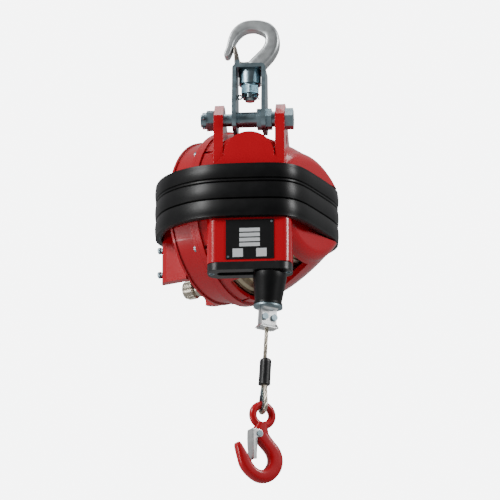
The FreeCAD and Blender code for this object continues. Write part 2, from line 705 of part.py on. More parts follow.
def make_housing():
    """One casting: ears, chute, front arch and the conical cover of the drum."""
    wall = size("wall")
    outer = cover_outline(0)
    flange = Part.makeCylinder(size("flange_radius"), size("cover_flange"), Vector(), X_AXIS)
    outer = in_row(outer.fuse(flange))
    bottom = -size("chute_bottom")
    chute_top = -size("axis_drop") + 16
    chute = chute_block(size("chute_wide"), size("chute_deep"), chute_top, bottom, size("chute_round"))
    arch_r = size("arch_radius")
    arch_top = -size("arch_drop")
    y_front = -size("chute_deep / 2") + 1
    arch_wire = Part.Wire([
        arc_edge(front(-arch_r, arch_top - arch_r), front(0, arch_top), front(arch_r, arch_top - arch_r)),
        Part.makeLine(front(arch_r, arch_top - arch_r), front(size(EAR_OUT), arch_top - arch_r - 12)),
        Part.makeLine(front(size(EAR_OUT), arch_top - arch_r - 12), front(size(EAR_OUT), chute_top - 5)),
        Part.makeLine(front(size(EAR_OUT), chute_top - 5), front(-size(EAR_OUT), chute_top - 5)),
        Part.makeLine(front(-size(EAR_OUT), chute_top - 5), front(-size(EAR_OUT), arch_top - arch_r - 12)),
        Part.makeLine(front(-size(EAR_OUT), arch_top - arch_r - 12), front(-arch_r, arch_top - arch_r)),
    ])
    arch = plate_solid(arch_wire, Y_AXIS * (size("axis_back") / 2 - y_front))
    arch.translate(Y_AXIS * y_front)
    body = outer.fuse([chute, arch])
    ear_front = -size("ear_front")
    drop = size("bolt_drop")
    rise = size("ear_rise")
    ear_side = Part.makePolygon([
        Vector(0, ear_front, chute_top - 2),
        Vector(0, ear_front, -drop + rise - size("ear_front") - 2),
        Vector(0, 0, -drop + rise),
        Vector(0, size("ear_top_deep"), -drop + rise),
        Vector(0, size("axis_back * 0.72"), -drop - 16),
        Vector(0, size("axis_back * 0.72"), chute_top - 2),
        Vector(0, ear_front, chute_top - 2),
    ])
    behind = in_row(Part.makeBox(200, 600, 600, Vector(-200, -300, -300)))
    for x in (size("ear_inner / 2"), -size(EAR_OUT)):
        ear = plate_solid(ear_side, X_AXIS * size("ear_thick"))
        ear.translate(X_AXIS * x)
        body = body.fuse(ear.cut(behind))
    cavity = in_row(cavity_outline())
    chute_room = chute_block(size("chute_wide - 2 * wall"), size("chute_deep - 2 * wall"),
                             chute_top - wall, bottom - 1, size("chute_round") - wall + 1)
    body = body.cut(cavity).cut(chute_room)
    window_points = [Vector(size("window_from"), 0, 0)]
    reach = size("flange_radius * 1.3")
    for angle in (-size("window_front"), -size("window_front") / 3, size("window_back")):
        turn = math.radians(angle)
        window_points.append(Vector(size("window_from"), reach * math.sin(turn), -reach * math.cos(turn)))
    window_points.append(window_points[0])
    window = plate_solid(Part.makePolygon(window_points), X_AXIS * size("window_to - window_from"))
    body = body.cut(in_row(window))
    boss_r = size("shaft_diameter / 2 + hub_wall")
    boss_start = size("drum_to") + 3.8
    boss_end = size("cover_length") - wall / 2
    boss = bar(Vector(boss_start, 0, 0), Vector(boss_end, 0, 0), boss_r)
    body = body.fuse(in_row(boss))
    shaft_hole = in_row(bar(Vector(-20, 0, 0), Vector(boss_end, 0, 0), size("shaft_diameter / 2")))
    bolt_hole = bar(Vector(-99, 0, -drop), Vector(99, 0, -drop), size("bolt_diameter / 2 + run_gap"))
    chain_z = -drop - size("chain_hole_drop")
    chain_y = size("chain_hole_back")
    chain_hole = bar(Vector(size("ear_inner / 2"), chain_y, chain_z), Vector(99, chain_y, chain_z), size("chain_hole / 2"))
    body = body.cut(shaft_hole).cut(bolt_hole).cut(chain_hole)
    for x in (-1, 1):
        at = Vector(x * size("guide_screw_span / 2"), 0, bottom)
        post = Part.makeCylinder(size("screw_diameter / 2 + 2.5"), size("screw_depth"), at, Z_AXIS)
        body = body.fuse(post.common(chute))
        body = body.cut(Part.makeCylinder(size("screw_diameter / 2"), size("screw_depth"), at, Z_AXIS))
    for at in flange_screw_places():
        body = body.cut(in_row(bar(at - X_AXIS * 30, at + X_AXIS * 30, size("screw_diameter / 2"))))
    shaped("drum_housing", one_solid(body))


def flange_screw_places():
    """Screws through both flanges, between the band and the feet."""
    radius = (size("flange_radius") + size("case_radius")) / 2
    places = []
    for angle in (55, 125, 180, 235, 305):
        turn = math.radians(angle)
        places.append(Vector(0, -radius * math.sin(turn), radius * math.cos(turn)))
    return places


def make_case():
    """Round spring case with its flange, end lip and the seats of shaft and lock."""
    wall = size("wall")
    radius = size("case_radius")
    end = -size("case_length")
    case = spun([
        along(0, 0), along(0, size("flange_radius")),
        along(-size("case_flange"), size("flange_radius")), along(-size("case_flange"), radius),
        along(end + size("case_lip"), radius), along(end + size("case_lip"), radius + 2),
        along(end, radius + 2), along(end, 0),
    ])
    case = case.cut(Part.makeCylinder(radius - wall, size("case_length") - wall, Vector(end + wall, 0, 0), X_AXIS))
    case = case.cut(bar(Vector(-99, 0, 0), Vector(99, 0, 0), size("shaft_diameter / 2")))
    lock = Vector(0, 0, -size("lock_drop"))
    case = case.cut(bar(lock - X_AXIS * 99, lock, size("lock_bush_diameter / 2 - 2")))
    for at in flange_screw_places():
        case = case.cut(bar(at - X_AXIS * 30, at + X_AXIS * 30, size("screw_diameter / 2")))
    shaped("spring_case", one_solid(case), DRUM_FRAME)


def make_end_block():
    """Cast block behind the case: closed at band height, two feet below it."""
    half = size("block_wide / 2")
    foot = size("foot_thick")
    start = -size("case_length")
    end = -size("block_end")
    top = size("block_top")
    under = -size("block_under")
    low = -size("foot_drop")
    long = start - end
    block = Part.makeBox(long, 2 * half, top - under, Vector(end, -half, under))
    room = Part.makeBox(long - size("wall"), 2 * half - 2 * foot, top - under - 2 * size("wall"),
                        Vector(end + size("wall"), -half + foot, under + size("wall")))
    block = block.cut(room)
    for side in (-half, half - foot):
        block = block.fuse(Part.makeBox(long, foot, under - low, Vector(end, side, low)))
    block = one_solid(block)
    block = rounded(block, size("band_corner * 0.7"), lambda e: e.BoundBox.XLength < 0.01 and e.BoundBox.YLength < 0.01
                    and abs(e.CenterOfMass.x - end) < 0.01 and abs(abs(e.CenterOfMass.y) - half) < 0.01)
    for at in block_screw_places():
        block = block.cut(bar(at - X_AXIS * 1, at + X_AXIS * 99, size("screw_diameter / 2")))
    shaped("end_block", one_solid(block), DRUM_FRAME)


def block_screw_places():
    """Screws from behind through the feet into the case."""
    y = size("block_wide / 2 - foot_thick / 2")
    x = -size("block_end")
    return [Vector(x, side * y, z) for side in (-1, 1) for z in (-size("foot_drop") * 0.5, -size("foot_drop") * 0.86)]


def make_screws(node, places, direction, thread, placement):
    """A group of like screws: head and thread, each its own solid."""
    screws = []
    for at in places:
        head_end = at - direction * size("screw_head_tall")
        head = bar(head_end, at, size("screw_head / 2"))
        screws.append(one_solid(head.fuse(bar(at, at + direction * thread, size("screw_diameter / 2")))))
    shaped(node, Part.makeCompound(screws), placement)


def make_band():
    """Rubber band round the whole body: four ribs, three grooves, sides slightly crowned."""
    corners = band_plan()
    tall = size("band_tall")
    gap = size("fit_gap")
    corner = size("band_corner")
    thick = size("band_thick")
    z0 = -size("axis_drop") - tall / 2
    outer = offset_loop(corners, gap + thick, corner)
    inner = offset_loop(corners, gap, corner)
    band = plate_solid(outer, Z_AXIS * tall).cut(plate_solid(inner, Z_AXIS * tall))
    bevel = size("groove_deep")
    band = band.makeChamfer(bevel, [
        e for e in band.Edges if e.BoundBox.ZLength < 0.01 and is_on(e, outer, z_levels=(0, tall))
    ])
    rim = offset_loop(corners, gap + thick - size("groove_deep"), corner)
    shell = plate_solid(offset_loop(corners, gap + thick + 5, corner), Z_AXIS * size("groove_wide"))
    shell = shell.cut(plate_solid(rim, Z_AXIS * size("groove_wide")))
    for k in (1, 2, 3):
        cutter = shell.copy()
        cutter.translate(Z_AXIS * (tall * k / 4 - size("groove_wide / 2")))
        band = band.cut(cutter)
    band.translate(Z_AXIS * z0)
    shaped("bumper_band", one_solid(band))


def is_on(edge, wire, z_levels):
    """Whether an edge lies on a copy of the wire at one of the given heights."""
    middle = edge.valueAt((edge.FirstParameter + edge.LastParameter) / 2)
    if min(abs(middle.z - z) for z in z_levels) > 0.01:
        return False
    return wire.distToShape(Part.Vertex(middle.x, middle.y, 0))[0] < 0.01


def make_guide():
    """Slotted guide under the chute, with a screw at each end."""
    body = new_body("rope_guide", Placement(Vector(0, 0, -size("chute_bottom + guide_thick")), Rotation()))
    sketch = new_sketch(body, "XY_Plane")
    add_outline(sketch, [
        ("-chute_wide / 2", "-chute_deep / 2"), ("chute_wide / 2", "-chute_deep / 2"),
        ("chute_wide / 2", "chute_deep / 2"), ("-chute_wide / 2", "chute_deep / 2"),
    ])
    for side in ("-", ""):
        add_circle(sketch, f"{side}guide_screw_span / 2", "0", "screw_diameter / 2")
    pad(body, sketch, "guide_thick")
    heads = new_sketch(body, "XY_Plane")
    for side in ("-", ""):
        add_circle(heads, f"{side}guide_screw_span / 2", "0", "screw_head / 2 + fit_gap / 2")
    doc.recompute()
    solid_before = body.Shape.Volume
    add_feature(body, "Pocket", heads, Length="screw_head_tall", Reversed=True)
    doc.recompute()
    if body.Shape.Volume > solid_before - 1:
        raise RuntimeError("the screw heads' seats cut nothing")
    round_edges(body, "guide_corners", "chute_round + 3", lambda e: e.BoundBox.ZLength > 1
                and abs(abs(e.CenterOfMass.x) - size("chute_wide / 2")) < 0.01)
    slot = new_sketch(body, "XY_Plane")
    add_outline(slot, [
        ("-slot_wide / 2", "-slot_deep / 2"), ("slot_wide / 2", "-slot_deep / 2"),
        ("slot_wide / 2", "slot_deep / 2"), ("-slot_wide / 2", "slot_deep / 2"),
    ])
    cut_through(body, slot)
    round_edges(body, "slot_ends", "slot_deep / 2 - 0.2", lambda e: e.BoundBox.ZLength > 1
                and abs(abs(e.CenterOfMass.x) - size("slot_wide / 2")) < 0.01 and e.BoundBox.XLength < 0.01)


def make_plate():
    """Bare plate on the chute's front, with two rivets."""
    y = -size("chute_deep / 2")
    thick = size("plate_thick")
    x0 = size("plate_right - plate_wide / 2")
    z0 = -size("plate_drop + plate_tall / 2")
    plate = Part.makeBox(size("plate_wide"), thick, size("plate_tall"), Vector(x0, y - thick, z0))
    rivets = []
    inset = size("rivet_diameter")
    for x, z in ((x0 + inset, z0 + inset), (x0 + size("plate_wide") - inset, z0 + size("plate_tall") - inset)):
        plate = plate.cut(Part.makeCylinder(size("rivet_diameter / 4"), thick, Vector(x, y - thick, z), Y_AXIS))
        head = Part.makeCylinder(size("rivet_diameter / 2"), 0.8, Vector(x, y - thick - 0.8, z), Y_AXIS)
        rivets.append(head.fuse(Part.makeCylinder(size("rivet_diameter / 4"), thick, Vector(x, y - thick, z), Y_AXIS)))
    shaped("nameplate", plate)
    shaped("nameplate_rivets", Part.makeCompound([one_solid(r) for r in rivets]))


def rope_radius(s):
    """Radius of the rope's middle on the drum: its front line lies in the rope plane, parallel to the slot."""
    turn = math.radians(size("drum_turn"))
    return (size("axis_back") - s * math.sin(turn)) / math.cos(turn)


def groove_places():
    """Middles of the rope grooves, from the small end of the drum to the large end."""
    turn = math.radians(size("drum_turn"))
    step = size("groove_pitch") * math.cos(turn)
    lean = math.tan(math.radians(size("rope_lean")))
    rope_x = size("rest_right") + lean * size("chute_bottom + guide_thick - axis_drop")
    first = (rope_x + size("axis_left") + size("axis_back") * math.tan(turn)) * math.cos(turn)
    return [first - k * step for k in range(int(size("groove_count")))]


def make_drum():
    """Conical rope drum: thin wall, rim, grooves square to the cone, web and hub at the small end."""
    turn = math.radians(size("drum_turn"))
    start = size("drum_from")
    end = size("drum_to")
    wall = size("drum_wall")
    rim_start = start - size("rim_thick")
    hub = size("bearing_diameter / 2 + hub_wall")
    hub_start = end - 40
    drum = spun([
        along(rim_start, size("rim_radius")), along(start, size("rim_radius")),
        along(start, rope_radius(start)), along(end, rope_radius(end)),
        along(end, size("bearing_diameter / 2")), along(hub_start, size("bearing_diameter / 2")),
        along(hub_start, hub), along(end - wall, hub),
        along(end - wall, rope_radius(end - wall) - wall), along(start, rope_radius(start) - wall),
        along(rim_start, rope_radius(start) - wall),
    ])
    slope = Vector(math.cos(turn), 0, -math.sin(turn))
    outward = Vector(math.sin(turn), 0, math.cos(turn))
    half_wide = size("rope_diameter / 2 + rope_seat_gap") * math.sqrt(2)
    for s in groove_places():
        middle = along(s, rope_radius(s))
        groove = Part.makePolygon([
            middle + slope * (half_wide + 1) + outward, middle - outward * half_wide,
            middle - slope * (half_wide + 1) + outward, middle + slope * (half_wide + 1) + outward,
        ])
        drum = drum.cut(Part.Face(groove).revolve(Vector(), X_AXIS, 360))
    shaped("rope_drum", one_solid(drum), DRUM_FRAME)
    # A square ring of the rope's own section, standing on its corner in the groove
    half = size("rope_diameter / 2") * math.sqrt(math.pi / 2)
    turns = []
    for s in groove_places()[1:int(size("turn_count"))]:
        middle = along(s, rope_radius(s))
        turns.append(spun([middle + slope * half, middle + outward * half,
                           middle - slope * half, middle - outward * half]))
    shaped("rope_turns", Part.makeCompound(turns), DRUM_FRAME)


def make_barrel():
    """Spring barrel fixed to the drum's rim, its strip spring and the arbor inside."""
    wall = size("barrel_wall")
    radius = size("barrel_radius")
    start = -size("barrel_from")
    joint = size("drum_from - rim_thick")
    hub = size("bearing_diameter / 2 + hub_wall")
    barrel = spun([
        along(start, radius), along(joint, radius), along(joint, size("bearing_diameter / 2")),
        along(joint - 14, size("bearing_diameter / 2")), along(joint - 14, hub),
        along(joint - 4, hub), along(joint - 4, radius - wall), along(start, radius - wall),
    ])
    shaped("spring_barrel", one_solid(barrel), DRUM_FRAME)
    bearings = []
    for s in (joint - 13, size("drum_to") - 13):
        bearings.append(Part.makeCylinder(size("bearing_diameter / 2"), size("bearing_wide"), Vector(s, 0, 0), X_AXIS)
                        .cut(bar(Vector(-99, 0, 0), Vector(199, 0, 0), size("shaft_diameter / 2 + run_gap"))))
    shaped("drum_bearings", Part.makeCompound(bearings), DRUM_FRAME)
    make_spring(radius - wall, start + 2)
    arbor_length = size("spring_wide") - 4
    arbor = Part.makeCylinder(size("arbor_radius"), arbor_length, Vector(start + 4, 0, 0), X_AXIS)
    arbor = arbor.cut(bar(Vector(-99, 0, 0), Vector(99, 0, 0), size("shaft_diameter / 2")))
    shaped("spring_arbor", one_solid(arbor), DRUM_FRAME)


def make_spring(outer, start):
    """Flat spiral: turns against the barrel, then a long bow in to the arbor."""
    thick = size("spring_thick")
    packed = int(size("spring_turns")) * 2
    reach = outer - size("face_gap")
    bow = 4
    bow_step = (reach - packed * size("spring_pitch / 2") - size("arbor_radius") - thick) / bow
    steps = [size("spring_pitch / 2")] * packed + [bow_step] * bow
    outside = []
    inside = []
    for k, step in enumerate(steps):
        side = 1 if k % 2 == 0 else -1
        outside.append(half_turn(side, reach, step))
        inside.append(half_turn(side, reach - thick, step))
        reach -= step
    ends = [Part.makeLine(outside[k].Vertexes[v].Point, inside[k].Vertexes[v].Point) for k, v in ((0, 0), (-1, 1))]
    wire = Part.Wire(Part.__sortEdges__(outside + inside + ends))
    strip = Part.Face(wire).extrude(Z_AXIS * size("spring_wide"))
    strip.rotate(Vector(), Y_AXIS, 90)
    strip.translate(X_AXIS * start)
    shaped("power_spring", strip, DRUM_FRAME)


def half_turn(side, reach, step):
    """Half a turn of the spiral, which comes in by one step on its way across."""
    radius = reach - step / 2
    middle = side * step / 2
    return arc_edge(Vector(0, side * reach, 0), Vector(side * radius, middle, 0), Vector(0, -side * (reach - step), 0))


def make_shaft():
    """Fixed shaft from the end block to the cover's nose, with a circlip at each end of the drum."""
    start = -size("case_length") - 12
    end = size("cover_length - wall / 2")
    shaft = bar(Vector(start, 0, 0), Vector(end, 0, 0), size("shaft_diameter / 2"))
    clips = []
    for s in (size("drum_from - rim_thick") + 0.4, size("drum_to") + 1.4):
        groove = Part.makeCylinder(size("shaft_diameter"), 1.2, Vector(s, 0, 0), X_AXIS)
        groove = groove.cut(Part.makeCylinder(size("shaft_diameter / 2 - 1"), 1.2, Vector(s, 0, 0), X_AXIS))
        shaft = shaft.cut(groove)
        clip = Part.makeCylinder(size("shaft_diameter / 2 + 2.5"), 1.2, Vector(s, 0, 0), X_AXIS)
        clip = clip.cut(Part.makeCylinder(size("shaft_diameter / 2 - 1"), 1.2, Vector(s, 0, 0), X_AXIS))
        mouth = Part.makeBox(1.2, 8, size("shaft_diameter"), Vector(s, -4, 0))
        clips.append(one_solid(clip.cut(mouth)))
    shaped("drum_shaft", one_solid(shaft), DRUM_FRAME)
    shaped("shaft_circlips", Part.makeCompound(clips), DRUM_FRAME)


def make_lock():
    """Drum lock between the feet: bush in the case, sprung pin with a notched knob."""
    lock = Placement(DRUM_FRAME.multVec(Vector(-size("case_length"), 0, -size("lock_drop"))),
                     Rotation(Z_AXIS, 180 - size("drum_turn")))
    pin = "lock_pin / 2"
    bush = "lock_bush_diameter / 2"
    turned("lock_bush", "H_Axis", [[
        ("-wall", pin + " + 1.5"), ("-wall", bush + " - 2"), ("0", bush + " - 2"), ("0", bush),
        ("lock_bush_length", bush), ("lock_bush_length", pin + " + run_gap"),
        ("lock_bush_length - 3", pin + " + run_gap"), ("lock_bush_length - 3", pin + " + 1.5"),
    ]], lock)
    knob_start = "(lock_bush_length + face_gap)"
    knob_end = f"({knob_start} + lock_knob_length)"
    knob_r = "lock_knob_diameter / 2"
    turned("lock_knob", "H_Axis", [[
        ("-wall + 0.5", "0"), ("-wall + 0.5", pin), (knob_start, pin), (knob_start, knob_r + " - 4"),
        (knob_start + " + 4", knob_r + " - 4"), (knob_start + " + 5", knob_r),
        (knob_start + " + 12", knob_r), (knob_start + " + 13", knob_r + " - 2.5"),
        (knob_start + " + 15", knob_r + " - 2.5"), (knob_start + " + 16", knob_r),
        (knob_end + " - 1", knob_r), (knob_end, knob_r + " - 1"), (knob_end, "0"),
    ]], lock)
    coils = []
    for k in range(3):
        x = -size("wall") + 1.6 + 3.4 * k
        inner = size(pin) + 0.4
        coils.append(spun([along(x, inner), along(x + 0.9, inner), along(x + 0.9, inner + 0.8), along(x, inner + 0.8)]))
    shaped("lock_spring", Part.makeCompound(coils), lock)


# Rope end: Z up along the rope, origin at the guide's underside, X and Y turned with the load hook
END_FRAME = Placement(
    Vector(size("rest_right"), 0, -size("chute_bottom + guide_thick")),
    Rotation(Y_AXIS, size("rope_lean")) * Rotation(Z_AXIS, size("end_turn")))
WASHER_Z = "(-buffer_clear - buffer_tall)"
CLAMP_Z = f"({WASHER_Z} - washer_thick)"
CLAMP_END = f"({CLAMP_Z} - clamp_tall)"
SLEEVE_Z = f"({CLAMP_END} - free_rope)"
SLEEVE_END = f"({SLEEVE_Z} - sleeve_long)"
EYE_Z = f"({SLEEVE_END} - eye_drop)"
ROPE_STEP = "(rope_diameter + rope_side_gap)"


def make_buffer():
    rope = "rope_diameter / 2"
    bead = f"({WASHER_Z} + bead_tall)"
    turned("rubber_buffer", "V_Axis", [[
        (rope, "-buffer_clear"), ("buffer_top_radius - 1", "-buffer_clear"),
        ("buffer_top_radius", "-buffer_clear - 1"), ("buffer_top_radius", "-buffer_clear - 5"),
        ("buffer_waist_radius", bead), ("buffer_bead_radius", bead + " - 1"),
        ("buffer_bead_radius", WASHER_Z + " + 1"), ("buffer_bead_radius - 1", WASHER_Z), (rope, WASHER_Z),
    ]], END_FRAME)
    turned("buffer_washer", "V_Axis", [[
        (rope, WASHER_Z), ("buffer_washer_radius", WASHER_Z), ("buffer_washer_radius", CLAMP_Z), (rope, CLAMP_Z),
    ]], END_FRAME)


def make_clamp():
    """Two plates with flared lips, screwed together over the rope."""
    top = size(CLAMP_Z)
    low = size(CLAMP_END)
    slit = size("clamp_slit / 2")
    thick = size("clamp_half_thick")
    lip = size("clamp_lip")
    half = size("clamp_wide / 2")
    rope = bar(Vector(0, 0, top + 1), Vector(0, 0, low - 1), size("rope_diameter / 2"))
    halves = []
    for side in (-1, 1):
        outline = [(slit, top), (slit + thick + lip, top), (slit + thick + lip, top - 1.5), (slit + thick, top - 4),
                   (slit + thick, low + 4), (slit + thick + lip, low + 1.5), (slit + thick + lip, low), (slit, low)]
        points = [Vector(-half, side * y, z) for y, z in outline]
        block = plate_solid(Part.makePolygon(points + points[:1]), X_AXIS * 2 * half)
        block = block.cut(rope)
        for x in (-1, 1):
            at = Vector(x * size("clamp_screw_span / 2"), 0, (top + low) / 2)
            block = block.cut(bar(at - Y_AXIS * 30, at + Y_AXIS * 30, size("clamp_lip * 0.7")))
        halves.append(one_solid(block))
    shaped("rope_clamp", Part.makeCompound(halves), END_FRAME)
    screws = []
    for x in (-1, 1):
        at = Vector(x * size("clamp_screw_span / 2"), 0, (top + low) / 2)
        reach = slit + thick
        screw = bar(at - Y_AXIS * (reach + 2.5), at - Y_AXIS * reach, size("clamp_lip * 1.35"))
        screw = screw.fuse(bar(at - Y_AXIS * reach, at + Y_AXIS * reach, size("clamp_lip * 0.7")))
        screws.append(one_solid(screw))
    shaped("clamp_screws", Part.makeCompound(screws), END_FRAME)


def make_ropes():
    """Rope in the chute, rope in the buffer and clamp, and the free end with its loop."""
    radius = size("rope_diameter / 2")
    guide_under = Vector(size("rest_right"), 0, -size("chute_bottom + guide_thick"))
    up = END_FRAME.Rotation.multVec(Z_AXIS)
    tall = size("chute_bottom + guide_thick - axis_drop") / up.z
    shaped("rope_lead", bar(guide_under, guide_under + up * tall, radius))
    top = Vector(0, 0, 0)
    low = Vector(0, 0, size(CLAMP_END))
    shaped("rope_core", bar(top, low, radius), END_FRAME)
    step = size(ROPE_STEP)
    sleeve_end = size(SLEEVE_END)
    bar_z = size(f"{EYE_Z} + eye_radius")
    bend = size("eye_bar_radius + eye_room + thimble_thick") + radius
    leg_out = step / 2
    middle = -step / 2
    leg_start = sleeve_end - 0.8
    tangent = loop_tangent(leg_out, leg_start, bend, bar_z)
    path = Part.Wire([
        Part.makeLine(low, Vector(0, 0, leg_start)),
        Part.makeLine(Vector(0, 0, leg_start), Vector(0, middle + tangent[0], tangent[1])),
        arc_edge(Vector(0, middle + tangent[0], tangent[1]), Vector(0, middle, bar_z - bend),
                 Vector(0, middle - tangent[0], tangent[1])),
        Part.makeLine(Vector(0, middle - tangent[0], tangent[1]), Vector(0, -step, leg_start)),
        Part.makeLine(Vector(0, -step, leg_start), Vector(0, -step, size(f"{SLEEVE_Z} - 3"))),
    ])
    profile = Part.Wire([Part.Circle(low, Z_AXIS, radius).toShape()])
    tube = path.makePipeShell([profile], True, False, 2)
    print("rope end volume", round(tube.Volume, 1), "section times length", round(path.Length * math.pi * radius ** 2, 1))
    print("rope end length", round(path.Length, 1), "bend", round(bend, 2))
    shaped("rope_end", tube, END_FRAME)
    half_wide = size("sleeve_wide / 2")
    half_thick = size("sleeve_thick / 2")
    sleeve = Part.makeBox(2 * half_thick, 2 * half_wide, size("sleeve_long"),
                          Vector(-half_thick, middle - half_wide, sleeve_end))
    sleeve = rounded(sleeve, half_thick - 0.1, lambda e: e.BoundBox.ZLength > 1)
    for y in (0, -step):
        sleeve = sleeve.cut(bar(Vector(0, y, sleeve_end - 1), Vector(0, y, size(SLEEVE_Z) + 1), radius))
    shaped("rope_sleeve", one_solid(sleeve), END_FRAME)
    inner = size("eye_bar_radius + eye_room")
    outer = inner + size("thimble_thick")
    tip = Vector(0, middle, sleeve_end - 3)
    half = size("thimble_wide / 2")
    out_t = loop_tangent(0.0, tip.z, outer, bar_z)
    in_t = loop_tangent(0.0, tip.z - 6, inner, bar_z)
    thimble = loop_plate(middle, 0.0, tip.z, outer, bar_z, out_t, half)
    thimble = thimble.cut(loop_plate(middle, 0.0, tip.z - 6, inner, bar_z, in_t, half + 1))
    shaped("thimble", one_solid(thimble), END_FRAME)


def loop_tangent(offset, start_z, radius, centre_z):
    """Where a straight leg from (offset, start_z) touches a circle round (0, centre_z) on its outside."""
    dy = offset
    dz = start_z - centre_z
    reach = math.hypot(dy, dz)
    to_start = math.atan2(dz, dy)
    opening = math.acos(radius / reach)
    turn = to_start - opening
    return radius * math.cos(turn), centre_z + radius * math.sin(turn)


def loop_plate(middle, offset, start_z, radius, centre_z, tangent, half):
    """A drop shaped plate: round below, straight sides that meet at the top."""
    top = Vector(0, middle + offset, start_z)
    right = Vector(0, middle + tangent[0], tangent[1])
    left = Vector(0, middle - tangent[0], tangent[1])
    wire = Part.Wire([
        Part.makeLine(top, right),
        arc_edge(right, Vector(0, middle, centre_z - radius), left),
        Part.makeLine(left, top),
    ])
    plate = plate_solid(wire, X_AXIS * 2 * half)
    plate.translate(X_AXIS * -half)
    return plate


# The load hook's frame: its eye's middle, in the rope end's frame
HOOK_FRAME = END_FRAME.multiply(Placement(Vector(0, -size(ROPE_STEP) / 2, size(EYE_Z)), Rotation()))


def make_load_hook():
    """Eye hook: round eye, flat sided shank and a deep bowl that ends in a raised tip."""
    bowl = size("load_bowl_drop")
    thick = size("load_hook_thick")
    eye_out = size("eye_radius + eye_bar_radius")
    outer = Part.BSplineCurve()
    outer.interpolate([front(0.37 * eye_out, -eye_out * 0.9), front(0.49 * eye_out, -24), front(18, -34),
                       front(27.3, -43), front(30.6, -53.5), front(28.5, -0.95 * bowl), front(17, -bowl - 11.5),
                       front(1.5, -bowl - 16.4), front(-13.4, -bowl - 10.6), front(-24.3, -bowl - 1),
                       front(-29.6, -56), front(-33, -41.5)])
    inner = Part.BSplineCurve()
    inner.interpolate([front(-27, -41.5), front(-17, -50.3), front(-13, -58.5), front(-7.4, -65.8),
                       front(0.6, -bowl), front(8.6, -65.6), front(11, -57.6), front(9.4, -46.2),
                       front(3.7, -38), front(-3, -31.5)])
    pivot = front(-size("latch_pin_left"), -size("latch_pin_drop"))
    edges = [
        outer.toShape(),
        arc_edge(outer.EndPoint, front(-30.5, -38.4), inner.StartPoint),
        inner.toShape(),
        Part.makeLine(inner.EndPoint, front(pivot.x - 6.2, pivot.z - 0.5)),
        Part.makeLine(front(pivot.x - 6.2, pivot.z - 0.5), front(-0.7 * eye_out, -eye_out * 0.72)),
        Part.makeLine(front(-0.7 * eye_out, -eye_out * 0.72), outer.StartPoint),
    ]
    shank = plate_solid(Part.Wire(edges), Y_AXIS * thick)
    shank.translate(Y_AXIS * (-thick / 2))
    shank = shank.makeChamfer(size("load_hook_edge"), [
        e for e in shank.Edges if e.BoundBox.YLength < 0.01 and e.Length > 30
    ])
    clear = Part.makeCylinder(eye_out - 0.5 * size("eye_bar_radius"), thick, Vector(0, -thick / 2, 0), Y_AXIS)
    shank = shank.cut(clear)
    bar_r = size("eye_bar_radius")
    corners = [Vector(size("eye_radius") + bar_r * math.cos(math.radians(45 * k + 22.5)),
                      bar_r * math.sin(math.radians(45 * k + 22.5)), 0) for k in range(8)]
    eye = Part.Face(Part.makePolygon(corners + corners[:1])).revolve(Vector(), Y_AXIS, 360)
    hook = shank.fuse(eye)
    hook = hook.cut(Part.makeCylinder(size("latch_pin_diameter / 2"), thick, Vector(pivot.x, -thick / 2, pivot.z), Y_AXIS))
    shaped("load_hook", one_solid(hook), HOOK_FRAME)


def make_latch():
    """Sheet metal latch: two cheeks beside the shank, joined by a web, on a rivet."""
    gap = size("face_gap")
    sheet_thick = size("latch_sheet")
    inner = size("load_hook_thick") / 2 + gap
    outer = inner + sheet_thick
    pivot = front(-size("latch_pin_left"), -size("latch_pin_drop"))
    eye = Part.makeCylinder(5, 2 * outer, Vector(pivot.x, -outer, pivot.z), Y_AXIS)
    leaf_points = [front(-17.6, -21), front(-7, -20.4), front(-1.2, -27.5), front(-5, -57.2), front(-9.5, -57.4),
                   front(-13.4, -54)]
    leaf = plate_solid(Part.makePolygon(leaf_points + leaf_points[:1]), Y_AXIS * 2 * outer)
    leaf.translate(Y_AXIS * -outer)
    latch = leaf.fuse(eye)
    room_points = [front(-30, 0), front(30, 0), front(30, -70), front(-8.2, -70), front(-12, -54.2),
                   front(-16.1, -21.5), front(-16.1, -10)]
    room = plate_solid(Part.makePolygon(room_points + room_points[:1]), Y_AXIS * 2 * inner)
    room.translate(Y_AXIS * -inner)
    latch = latch.cut(room)
    bore = Part.makeCylinder(size("latch_pin_diameter / 2 + run_gap"), 4 * outer, Vector(pivot.x, -2 * outer, pivot.z), Y_AXIS)
    shaped("load_latch", one_solid(latch.cut(bore)), HOOK_FRAME)
    head = outer + gap
    radius = size("latch_pin_diameter / 2")
    pin = Part.makeCylinder(radius, 2 * head, Vector(pivot.x, -head, pivot.z), Y_AXIS)
    for start in (-head - 1.2, head):
        pin = pin.fuse(Part.makeCylinder(1.8 * radius, 1.2, Vector(pivot.x, start, pivot.z), Y_AXIS))
    shaped("latch_pin", one_solid(pin), HOOK_FRAME)


make_suspension_hook()
make_gate()
make_swivel_stack()
make_strap()
make_cross_bolt()
make_housing()
make_case()
make_end_block()
make_band()
make_guide()
make_plate()
make_drum()
make_barrel()
make_shaft()
make_lock()
make_buffer()
make_clamp()
make_ropes()
make_load_hook()
make_latch()
GUIDE_SCREW_Z = -size("chute_bottom + guide_thick - screw_head_tall")
make_screws("guide_screws", [Vector(side * size("guide_screw_span / 2"), 0, GUIDE_SCREW_Z) for side in (-1, 1)],
            Z_AXIS, size("guide_thick + screw_depth - screw_head_tall"), Placement())
make_screws("flange_screws", [at - X_AXIS * size("case_flange") for at in flange_screw_places()], X_AXIS,
            size("case_flange + cover_flange"), DRUM_FRAME)
make_screws("end_block_screws", block_screw_places(), X_AXIS, size("block_end - case_length"), DRUM_FRAME)

